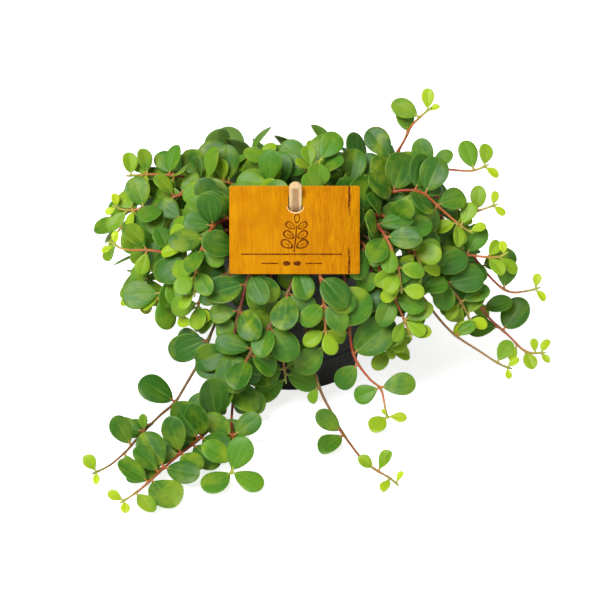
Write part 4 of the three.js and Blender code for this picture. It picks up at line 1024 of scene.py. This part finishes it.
potLook = {
    "body": seen(22, 23, 22), "dust": seen(52, 48, 42), "scuff": seen(44, 45, 44),
    "clouds": (38, 0.48, 0.72), "grain": (210, 0.55, 0.7), "grainStretch": (1, 1, 0.3),
    "rimDust": (74, 90, 0.15, 0.55), "footDust": (0, 12, 0.5, 0.1), "scuffShare": 0.3,
    "rough": (0.3, 0.7, 0.42, 0.62), "bump": (0.4, 0.0002), "specular": 0.5,
}


def makePotMaterial(mottle):
    look = potLook
    material, nodes, shader = newMaterial("blackPotPlastic")
    height = nodes.split(nodes.place(1000))[2]
    dust = patchy(nodes, mottle, look["clouds"])
    grain = patchy(nodes, mottle, look["grain"], nodes.place(1, look["grainStretch"]))
    where = nodes.math("MAXIMUM", *(nodes.span(height, *look[key]) for key in ("rimDust", "footDust")))
    body = nodes.over(look["body"], look["dust"], dust["Mask"], where)
    body = nodes.over(body, look["scuff"], grain["Mask"], look["scuffShare"])
    finishMaterial(nodes, shader, body, dust["Relief"], look, grain["Relief"])
    return material


soilLook = {
    "peat": seen(52, 36, 26), "dry": seen(92, 68, 48), "wet": seen(26, 18, 14),
    "perlite": seen(206, 200, 190), "clods": (120, 0.38, 0.68), "damp": (26, 0.4, 0.7), "dampShare": 0.6,
    "rough": (0.2, 0.8, 0.82, 0.98), "bump": (0.9, 0.0008), "specular": 0.5,
}


def makeSoilMaterial(mottle):
    look = soilLook
    material, nodes, shader = newMaterial("peatSoil")
    kind = nodes.split(nodes.attribute("growth"))[0]
    clods, damp = (patchy(nodes, mottle, look[key]) for key in ("clods", "damp"))
    body = nodes.blend(clods["Mask"], look["peat"], look["dry"])
    body = nodes.over(body, look["wet"], damp["Mask"], look["dampShare"])
    body = nodes.blend(nodes.span(kind, 0.6, 0.9), body, look["perlite"])
    finishMaterial(nodes, shader, body, clods["Relief"], look)
    return material


# The dark colour on the slot's walls and on the line round its lower end is painted shade, of the gap where
# the stake goes behind the card
tagLook = {
    "face": seen(206, 142, 3), "band": seen(192, 122, 2), "deep": seen(166, 92, 4),
    "line": seen(150, 78, 4), "streak": seen(92, 36, 10), "edge": seen(232, 146, 24),
    "slotShadeColour": seen(70, 40, 14), "rim": seen(240, 206, 150), "bands": (0.36, 0.66),
    "clouds": (0.09, 0.4, 0.68), "cloudShare": 0.3, "linesAcross": (-22, 22, 0.28, 0.6),
    "lines": (0.54, 0.4), "streakAt": 29, "streakWide": (0.3, 0.9), "wander": 2.4, "streakTop": (6, 13),
    "streakFoot": (-8, -12), "breaks": (0.36, 0.5, 0.35, 1), "shadeLineRing": (3.9, 0.35),
    # the pale rim round the slot's end, placed by slotRing and ringShare, is cut wood with a painted
    # highlight on its edge
    "slotRing": (4.75, 0.25), "ringShare": 0.8, "ringSoft": 0.25, "ringBelow": (1, 2.8),
    "edgeFrom": (0.4, 0.6, 0, 0.8), "shadedWallFrom": (1.4, 1.6), "rough": (0.1, 0.7, 0.49, 0.65),
    "bump": (0.5, 0.00015), "specular": 0.04,
}


def makeTagMaterial(grainGroup, mottle):
    look = tagLook
    material, nodes, shader = newMaterial("amberTagWood")
    spot = nodes.attribute("spot")
    right, up, cut = nodes.split(spot)
    grain = useGroup(nodes, grainGroup, Vector=spot, Scale=1)
    clouds = patchy(nodes, mottle, look["clouds"], spot)
    body = nodes.blend(nodes.span(grain["Bands"], *look["bands"]), look["face"], look["band"])
    body = nodes.over(body, look["deep"], clouds["Mask"], look["cloudShare"])
    # fine upright lines, stronger to the right
    stronger = nodes.span(right, *look["linesAcross"], smooth=True)
    body = nodes.over(body, look["deep"], nodes.span(grain["Relief"], *look["lines"]), stronger)
    body = nodes.over(body, look["line"], grain["Pores"], stronger)
    # one dark streak near the right edge, broken, at the top and again at the bottom
    wander = nodes.times(nodes.math("SUBTRACT", nodes.noise(spot, 0.12, 2), 0.5), look["wander"])
    aside = nodes.off(nodes.math("SUBTRACT", right, wander), look["streakAt"])
    ends = nodes.math("MAXIMUM", *(nodes.span(up, *look[key]) for key in ("streakTop", "streakFoot")))
    broken = nodes.span(nodes.noise(spot, 0.7, 2), *look["breaks"])
    streak = nodes.times(nodes.span(aside, *look["streakWide"], 1, 0, smooth=True), ends)
    body = nodes.over(body, look["streak"], streak, broken)
    # painted shade: a dark line round the lower end of the slot, where the stake goes behind the card, and
    # round it a pale rim that is cut wood with a painted highlight
    flat = nodes.add("ShaderNodeCombineXYZ", {0: right, 1: up}).outputs[0]
    slotCentre = (tag["slotX"], tag["slotUp"] - (tag["slotLength"] - tag["slotWidth"]) / 2, 0)
    far = nodes.add("ShaderNodeVectorMath", {0: flat, 1: slotCentre}, operation="DISTANCE").outputs[1]
    below = nodes.span(up, *(slotCentre[1] - down for down in look["ringBelow"]), smooth=True)

    def ring(radius, half):
        soft = half + look["ringSoft"]
        return nodes.times(below, nodes.span(nodes.off(far, radius), half, soft, 1, 0, smooth=True))

    # pale cut wood with a painted highlight on the slot's edge
    body = nodes.over(body, look["rim"], ring(*look["slotRing"]), look["ringShare"])
    body = nodes.blend(ring(*look["shadeLineRing"]), body, look["slotShadeColour"])
    body = nodes.blend(nodes.span(cut, *look["edgeFrom"]), body, look["edge"])
    # the slot's walls get the same dark colour, as painted shade
    body = nodes.blend(nodes.span(cut, *look["shadedWallFrom"]), body, look["slotShadeColour"])
    finishMaterial(nodes, shader, body, grain["Relief"], look)
    return material


stakeLook = {
    "body": seen(240, 212, 162), "band": seen(220, 184, 132), "core": seen(150, 104, 64), "grain": 2.6,
    "bands": (0.35, 0.65), "stain": (0.3, 0.4, 0.7), "stainShare": 0.2, "poreShare": 0.5,
    "coreWide": (1.2, 2.3), "coreEnd": (4.6, 2.8), "coreGrain": (0.2, 0.55, 1, 0.6),
    "rough": (0.1, 0.7, 0.5, 0.66), "bump": (0.5, 0.00012), "specular": 0.5,
}


def makeStakeMaterial(grainGroup, mottle):
    look = stakeLook
    material, nodes, shader = newMaterial("paleStakeWood")
    spot = nodes.attribute("spot")
    right, up, _ = nodes.split(spot)
    grain = useGroup(nodes, grainGroup, Vector=spot, Scale=look["grain"])
    stain = patchy(nodes, mottle, look["stain"], spot)
    body = nodes.blend(nodes.span(grain["Bands"], *look["bands"]), look["body"], look["band"])
    # darker open grain along the middle, up to a little below the round top
    core = nodes.span(nodes.math("ABSOLUTE", right), *look["coreWide"], 1, 0, smooth=True)
    low, high = (stakeLong - down for down in look["coreEnd"])
    core = nodes.times(core, nodes.span(up, low, high, 1, 0, smooth=True))
    body = nodes.over(body, look["core"], core, nodes.span(grain["Relief"], *look["coreGrain"]))
    body = nodes.over(body, look["core"], stain["Mask"], look["stainShare"])
    body = nodes.over(body, look["core"], grain["Pores"], look["poreShare"])
    finishMaterial(nodes, shader, body, grain["Relief"], look)
    return material


burntLook = {
    "char": seen(92, 40, 4), "pale": seen(134, 68, 6), "wear": (420, 0.42, 0.62),
    "rough": (0.3, 0.7, 0.6, 0.8), "bump": (0.4, 0.0001), "specular": 0.05,
}


def makeBurntMaterial(mottle):
    material, nodes, shader = newMaterial("burntLine")
    wear = patchy(nodes, mottle, burntLook["wear"])
    body = nodes.blend(wear["Mask"], burntLook["char"], burntLook["pale"])
    finishMaterial(nodes, shader, body, wear["Relief"], burntLook)
    return material


# Faces between rings of points, with one point before them and one after
def ringFaces(rings, sides):
    faces = []
    for j in range(sides):
        k = (j + 1) % sides
        faces.append((0, 1 + k, 1 + j))
        for i in range(rings - 1):
            low, high = 1 + i * sides, 1 + (i + 1) * sides
            faces.append((low + j, low + k, high + k, high + j))
        last = 1 + (rings - 1) * sides
        faces.append((last + j, last + k, rings * sides + 1))
    return faces


# A closed body turned round the upright axis from a profile of (radius, height)
def turned(profile, sides, bulge):
    angles = 2 * math.pi * np.arange(sides) / sides
    points = [(0, 0, profile[0][1])]
    for radius, z in profile[1:-1]:
        r = np.full(sides, radius) + bulge(angles, radius, z)
        points += list(zip(r * np.cos(angles), r * np.sin(angles), np.full(sides, z)))
    points.append((0, 0, profile[-1][1]))
    return points, ringFaces(len(profile) - 2, sides)


def arc(x, z, radius, start, end, steps=4):
    turns = np.radians(np.linspace(start, end, steps + 1))
    return [(x + radius * math.cos(a), z + radius * math.sin(a)) for a in turns]


def makePot(material):
    lipLow, lipOut = pot["height"] - pot["lipDrop"], pot["rimRadius"] + pot["lipOut"]
    innerAt = lambda z: outerRadiusAt(z) - pot["wall"]
    r = pot["mouldRound"]
    (grooveLow, grooveHigh), (ribLow, ribHigh) = pot["groove"], pot["ribbed"]
    depthAt = lambda z: pot["grooveDepth"] if grooveLow <= z <= grooveHigh else 0
    walls = [(outerRadiusAt(z) - depthAt(z), z) for z in pot["wallHeights"]]
    profile = [
        (0, pot["footRise"]), (pot["baseRadius"] - 7, pot["footRise"]), (pot["baseRadius"] - 6, 0.05),
        (pot["baseRadius"] - 1, 0), *arc(pot["baseRadius"] - 0.8, 0.8, 0.8, -80, -5, 3), *walls,
        (outerRadiusAt(lipLow), lipLow), *arc(lipOut - r, lipLow + r, r, -90, 0), (lipOut, pot["height"] - 4),
        (lipOut - 0.25, pot["height"] - 3.4), *arc(lipOut - 0.9, pot["height"] - 0.9, 0.9, 0, 90),
        *arc(innerAt(pot["height"]) + 0.7, pot["height"] - 0.7, 0.7, 90, 180, 3), (innerAt(45), 45),
        (innerAt(pot["floor"] + 2), pot["floor"] + 2), (innerAt(pot["floor"]) - 1.5, pot["floor"]),
        (0, pot["floor"]),
    ]

    # shallow upright ribs between the foot and the lip
    def bulge(angles, radius, z):
        if not ribLow < z < ribHigh or radius <= innerAt(z) + 1:
            return 0
        return -pot["ribDepth"] * (np.cos(pot["ribs"] * angles) > pot["ribFrom"])

    shape = Shape()
    shape.add(*turned(profile, pot["sides"], bulge))
    piece = shape.make("nurseryPot", [material])
    for i in range(pot["drains"]):
        angle = 2 * math.pi * i / pot["drains"]
        hole = Shape()
        centre = np.array([pot["drainRing"] * math.cos(angle), pot["drainRing"] * math.sin(angle), 0])
        line = np.array([centre + (0, 0, -2), centre + (0, 0, 6)])
        hole.add(*tube(line, stemFrames(line), (pot["drainRadius"],) * 2, 20))
        cutter = hole.make("drainCutter", [])
        cut = piece.modifiers.new("drain", "BOOLEAN")
        cut.operation, cut.object, cut.solver = "DIFFERENCE", cutter, "EXACT"
        applyModifiers(piece)
        bpy.data.objects.remove(cutter)
    finishPiece(piece, "pot", sharpAt=42)


# Modifiers made part of the mesh itself
def applyModifiers(piece):
    graph = bpy.context.evaluated_depsgraph_get()
    mesh = bpy.data.meshes.new_from_object(piece.evaluated_get(graph))
    piece.modifiers.clear()
    piece.data = mesh


def finishPiece(piece, node, sharpAt=None):
    if sharpAt is not None:
        piece.data.polygons.foreach_set("use_smooth", [True] * len(piece.data.polygons))
        piece.data.set_sharp_from_angle(angle=math.radians(sharpAt))
    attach(piece, "root")
    if node:
        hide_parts(node)


# Height of the peat, in low waves
def soilHeight(x, y):
    waves = 0.45 * np.sin(0.19 * x + 1) * np.cos(0.23 * y) + 0.3 * np.sin(0.61 * x - 0.4 * y)
    return soil["top"] - soil["sink"] + soil["waves"] * (waves + 0.22 * np.sin(1.37 * y + 0.8 * x))


# Crumbly peat up to just under the rim, with loose crumbs and a few white grains on top
def makeSoil(material):
    low, top = pot["floor"] + soil["gap"], soil["top"]
    room = pot["wall"] + soil["gap"] + 0.1
    radius = outerRadiusAt(top) - room
    draw = seeded(seeds["soil"])
    rough = [[draw() for _ in range(soil["spokes"])] for _ in range(soil["rings"] + 1)]
    shape = Shape()
    points = [(0, 0, low)]
    turns = 2 * math.pi * np.arange(soil["spokes"]) / soil["spokes"]
    walls = [(outerRadiusAt(low) - room, low), (radius, top - 2)]
    for r, z in walls:
        points += [(r * math.cos(a), r * math.sin(a), z) for a in turns]
    for i in range(soil["rings"]):
        share = 1 - i / soil["rings"]
        for j, a in enumerate(turns):
            r = radius * share * (1 + (soil["jitter"] * (rough[i][j] - 0.5) if i else 0))
            x, y = r * math.cos(a), r * math.sin(a)
            points.append((x, y, soilHeight(x, y) + soil["grit"] * (rough[i][j] - 0.6)))
    points.append((0, 0, top))
    shape.add(points, ringFaces(len(walls) + soil["rings"], soil["spokes"]))
    ball = bmesh.new()
    bmesh.ops.create_icosphere(ball, subdivisions=1, radius=1)
    ballPoints = np.array([v.co for v in ball.verts])
    ballFaces = [tuple(v.index for v in f.verts) for f in ball.faces]
    ball.free()
    for _ in range(soil["crumbs"]):
        out, angle = (radius - 2) * math.sqrt(draw()), 2 * math.pi * draw()
        x, y = out * math.cos(angle), out * math.sin(angle)
        size = mix(*soil["crumbSize"], draw() ** 2)
        lumps = np.array([mix(*soil["lumps"], draw()) for _ in ballPoints])[:, None]
        stretch = np.array([mix(*spread, draw()) for spread in soil["stretch"]])
        pale = 1 if draw() < soil["pale"] else 0
        centre = (x, y, soilHeight(x, y) + 0.1 * size)
        shape.add(centre + size * ballPoints * lumps * stretch, ballFaces, 0, None, (pale, 0, 0))
    finishPiece(shape.make("pottingSoil", [material], smooth=False), "soil")


# A flat outline with holes, given some thickness and soft edges, then set up in its own plane
def plate(name, outlines, thickness, bevel, place, material, rimAt=None):
    curve = bpy.data.curves.new(name, "CURVE")
    curve.dimensions, curve.fill_mode = "2D", "BOTH"
    curve.extrude, curve.bevel_depth, curve.bevel_resolution = thickness / 2 - bevel, bevel, 2 if bevel else 0
    curve.offset = -bevel
    for outline in outlines:
        spline = curve.splines.new("POLY")
        spline.points.add(len(outline) - 1)
        spline.points.foreach_set("co", [c for x, y in outline for c in (x, y, 0, 1)])
        spline.use_cyclic_u = True
    holder = bpy.data.objects.new(name + "Curve", curve)
    flat = bpy.data.meshes.new_from_object(holder)
    bpy.data.objects.remove(holder)
    bpy.data.curves.remove(curve)
    work = bmesh.new()
    work.from_mesh(flat)
    bpy.data.meshes.remove(flat)
    bmesh.ops.remove_doubles(work, verts=work.verts, dist=0.002)
    bmesh.ops.recalc_face_normals(work, faces=work.faces)
    points = np.array([v.co for v in work.verts])
    faces = [tuple(v.index for v in f.verts) for f in work.faces]
    work.free()
    spots = np.column_stack([points[:, 0], points[:, 1], np.zeros(len(points))])
    if rimAt:
        spots[:, 2] = rimAt(points)
    shape = Shape()
    shape.add([place(x, y, z) for x, y, z in points], faces, 0, spots)
    return shape.make(name, [material], smooth=False)


def roundedBox(halfWide, halfHigh, corner, x=0, y=0, steps=6):
    outline = []
    for sx, sy, start in ((1, 1, 0), (-1, 1, 90), (-1, -1, 180), (1, -1, 270)):
        middle = x + sx * (halfWide - corner), y + sy * (halfHigh - corner)
        outline += arc(*middle, corner, start, start + 90, steps)
    return outline


# A place on the tag, from its middle: right, up along the card, and out towards the viewer
def onTag(right, up, out):
    turn = math.radians(tag["leanDeg"])
    c, s = math.cos(turn), math.sin(turn)
    x, y, z = tag["centre"]
    return x + right, y + up * s - out * c, z + up * c + out * s


def makeTag(material):
    card = roundedBox(tag["width"] / 2, tag["height"] / 2, tag["corner"])
    halves = tag["slotWidth"] / 2, tag["slotLength"] / 2
    slot = roundedBox(*halves, tag["slotCorner"], tag["slotX"], tag["slotUp"])

    # 1 on the card's edges and 2 on the walls of the slot, which the material paints dark as shade
    def rimAt(p):
        x, y, z = p.T
        bySlot = (abs(x - tag["slotX"]) < tag["slotWidth"]) & (abs(y - tag["slotUp"]) < tag["slotLength"])
        return (abs(z) < tag["thickness"] / 2 - 0.02) * np.where(bySlot, 2.0, 1.0)

    piece = plate("woodTag", [card, slot], tag["thickness"], tag["bevel"], onTag, material, rimAt)
    finishPiece(piece, "tag", sharpAt=60)


# A plain burnt-in ornament: a sprig with round leaves, a rule under it and two dashes with two leaves
ornament = {
    "centre": (0.3, -1.5), "stemHeight": 20, "line": 0.7, "leafLong": 7.4, "leafWide": 0.31, "inner": 0.7,
    "pairs": 3, "spread": 62, "topLong": 5.2, "points": 22, "taper": 0.22, "sway": 0.9,
    "ribs": (0.25, 0.45, 0.65), "ribWide": 0.35, "ruleUp": -12.9, "ruleFrom": -28.4, "ruleTo": 25.4,
    "ruleWide": 0.75, "footUp": -17.8, "footLong": 4.2, "dashes": (6.5, 10.5, 15.5), "proud": 0.05,
}


def leafOutline(x, y, angle, long, share=1.0):
    outline = []
    c, s = math.cos(angle), math.sin(angle)
    for turn in np.linspace(0, 2 * math.pi, ornament["points"], endpoint=False):
        along = 0.5 + 0.5 * share * math.cos(turn)
        aside = ornament["leafWide"] * share * math.sin(turn) * (1 + ornament["taper"] * math.cos(turn))
        u, v = along * long, aside * long
        outline.append((x + u * c - v * s, y + u * s + v * c))
    return outline


def strip(points, wide):
    p = np.array(points, float)
    ahead = np.gradient(p, axis=0)
    side = np.column_stack([-ahead[:, 1], ahead[:, 0]]) / np.linalg.norm(ahead, axis=1)[:, None]
    return [tuple(q) for q in p + side * wide / 2] + [tuple(q) for q in (p - side * wide / 2)[::-1]]


# A leaf as a thin outline
def ringLeaf(x, y, angle, long):
    return [leafOutline(x, y, angle, long), leafOutline(x, y, angle, long, ornament["inner"])]


def makeOrnament(material):
    x, y = ornament["centre"]
    tall = ornament["stemHeight"]
    sway = lambda h: x + ornament["sway"] * math.sin(2.6 * h - 0.6)
    stem = [(sway(h), y - tall / 2 + tall * h) for h in np.linspace(0, 0.7, 14)]
    outlines = [strip(stem, ornament["line"])]
    for i in range(ornament["pairs"]):
        h = 0.1 + 0.25 * i
        long = ornament["leafLong"] * (1 - 0.1 * i)
        for side in (-1, 1):
            angle = math.radians(90 - side * (ornament["spread"] - 3 * i))
            c, s = math.cos(angle), math.sin(angle)
            base = (sway(h) + side * 0.8, y - tall / 2 + tall * h + 0.2)
            outlines += ringLeaf(*base, angle, long)
            rib = [(base[0] + long * f * c, base[1] + long * f * s) for f in ornament["ribs"]]
            outlines.append(strip(rib, ornament["ribWide"]))
    outlines += ringLeaf(sway(0.7), y - tall / 2 + tall * 0.75, math.radians(86), ornament["topLong"])
    left, right, half = ornament["ruleFrom"], ornament["ruleTo"], ornament["ruleWide"] / 2
    low, high = ornament["ruleUp"] - half, ornament["ruleUp"] + half
    outlines.append([(left, low), (right, low), (right, high), (left, high)])
    for side in (-1, 1):
        foot = (side * 0.6 - 1.4, ornament["footUp"])
        outlines.append(leafOutline(*foot, math.radians(90 - 90 * side), ornament["footLong"]))
        outlines.append(strip([(foot[0] + side * d, foot[1]) for d in ornament["dashes"]], ornament["line"]))
    place = lambda right, up, out: onTag(right, up, tag["thickness"] / 2 + out)
    piece = plate("tagSprig", outlines, 2 * ornament["proud"], 0, place, material)
    finishPiece(piece, None, sharpAt=60)


def makeStake(material):
    half = stake["width"] / 2
    outline = [(-half, 4), (-half * 0.4, 0), (half * 0.4, 0), (half, 4)]
    outline += arc(0, stakeLong - half, half, 0, 180, 18)
    c, s = math.cos(stakeRise), math.sin(stakeRise)

    def place(right, up, out):
        return stakeX + right, stake["footY"] + up * s - out * c, stake["bottom"] + up * c + out * s

    piece = plate("tagStake", [outline], stake["thickness"], stake["bevel"], place, material)
    finishPiece(piece, "stake", sharpAt=50)


# Pale studio floor, soft lights and a camera that looks down from the front
studio = {
    "distance": 2000, "elevation": 25, "pixel": 0.56, "image": 600, "aim": (5.6, 61),
    "world": 0.16, "floorGlow": 0.06, "floorSeen": 0.75, "floorHalf": 9000, "floorDapple": (0.86, 0.9),
    "lights": {
        "keyLight": ((-0.9, -1.5, 1.9), 1.3, 72), "fillLight": ((1.7, -1.2, 1.0), 1.4, 8),
        "backLight": ((0.3, 1.5, 1.7), 1.2, 7),
    },
}


def addLight(name, place, size, power):
    data = bpy.data.lights.new(name, "AREA")
    data.energy, data.size = power, size
    light = bpy.data.objects.new(name, data)
    light.location = place
    light.rotation_euler = (Vector((0, 0, 0.06)) - Vector(place)).to_track_quat("-Z", "Y").to_euler()
    bpy.context.scene.collection.objects.link(light)


def makeStudio():
    scene = bpy.context.scene
    half = studio["floorHalf"]
    floor = Shape()
    floor.add([(-half, -half, 0), (half, -half, 0), (half, half, 0), (-half, half, 0)], [(0, 1, 2, 3)])
    material, nodes, shader = newMaterial("paleFloor")
    grey = lambda value: (value, value, value, 1)
    dark, pale = (grey(value) for value in studio["floorDapple"])
    # the floor looks nearly white, as on the photo, but lights the leaves from below only a little
    seenDirectly = nodes.add("ShaderNodeLightPath", {}).outputs["Is Camera Ray"]
    glow = nodes.blend(seenDirectly, grey(studio["floorGlow"]), grey(studio["floorSeen"]))
    colour = nodes.ramp(nodes.noise(nodes.place(), 3, 2), [(0.3, dark), (0.7, pale)])
    inputs = {"Base Color": colour, "Roughness": 0.9, "Emission Color": glow, "Emission Strength": 1}
    nodes.join(shader, inputs)
    floor.make("studioFloor", [material])
    world = bpy.data.worlds.new("studioWorld")
    world.use_nodes = True
    world.node_tree.nodes["Background"].inputs[0].default_value = (1, 1, 1, 1)
    world.node_tree.nodes["Background"].inputs[1].default_value = studio["world"]
    scene.world = world
    for name, (place, size, power) in studio["lights"].items():
        addLight(name, place, size, power)
    camera = bpy.data.objects.new("photoCamera", bpy.data.cameras.new("photoCamera"))
    camera.data.sensor_width = 36
    camera.data.lens = 36 * studio["distance"] / (studio["pixel"] * studio["image"])
    e = math.radians(studio["elevation"])
    ahead = Vector((0, math.cos(e), -math.sin(e)))
    above = Vector((0, math.sin(e), math.cos(e)))
    aim = Vector((studio["aim"][0], 0, 0)) + above * studio["aim"][1] * studio["pixel"]
    camera.location = (aim - ahead * studio["distance"]) * mm
    camera.rotation_euler = ahead.to_track_quat("-Z", "Y").to_euler()
    camera.data.clip_end = 50
    scene.collection.objects.link(camera)
    scene.camera = camera
    scene.view_settings.view_transform = "Standard"


makeStudio()
print("studio ready")

mottle = makeMottle()
woodGrain = makeWoodGrain()
leafMaterial = makeLeafMaterial(mottle)
stemMaterial = makeStemMaterial(mottle)

growth = {**handStems, **crownStems(), **backStems()}
stems = [{"name": name, **stem, "line": stemLine(stem)} for name, stem in growth.items()]
settleApart([stem["line"] for stem in stems])
for stem in stems:
    stem["frames"] = stemFrames(stem["line"])
taken = Taken()
growLeaves(stems, taken)
print("leaves grown:", sum(len(stem["leaves"]) for stem in stems))
print("more leaves:", growFillers(stems, taken))
for s, stem in enumerate(stems):
    makeLeafyStem(stem, s, [leafMaterial, stemMaterial])
print("leafy stems made:", len(stems))

makePot(makePotMaterial(mottle))
makeSoil(makeSoilMaterial(mottle))
makeStake(makeStakeMaterial(woodGrain, mottle))
makeTag(makeTagMaterial(woodGrain, mottle))
makeOrnament(makeBurntMaterial(mottle))
print("pot, soil, stake and tag made")
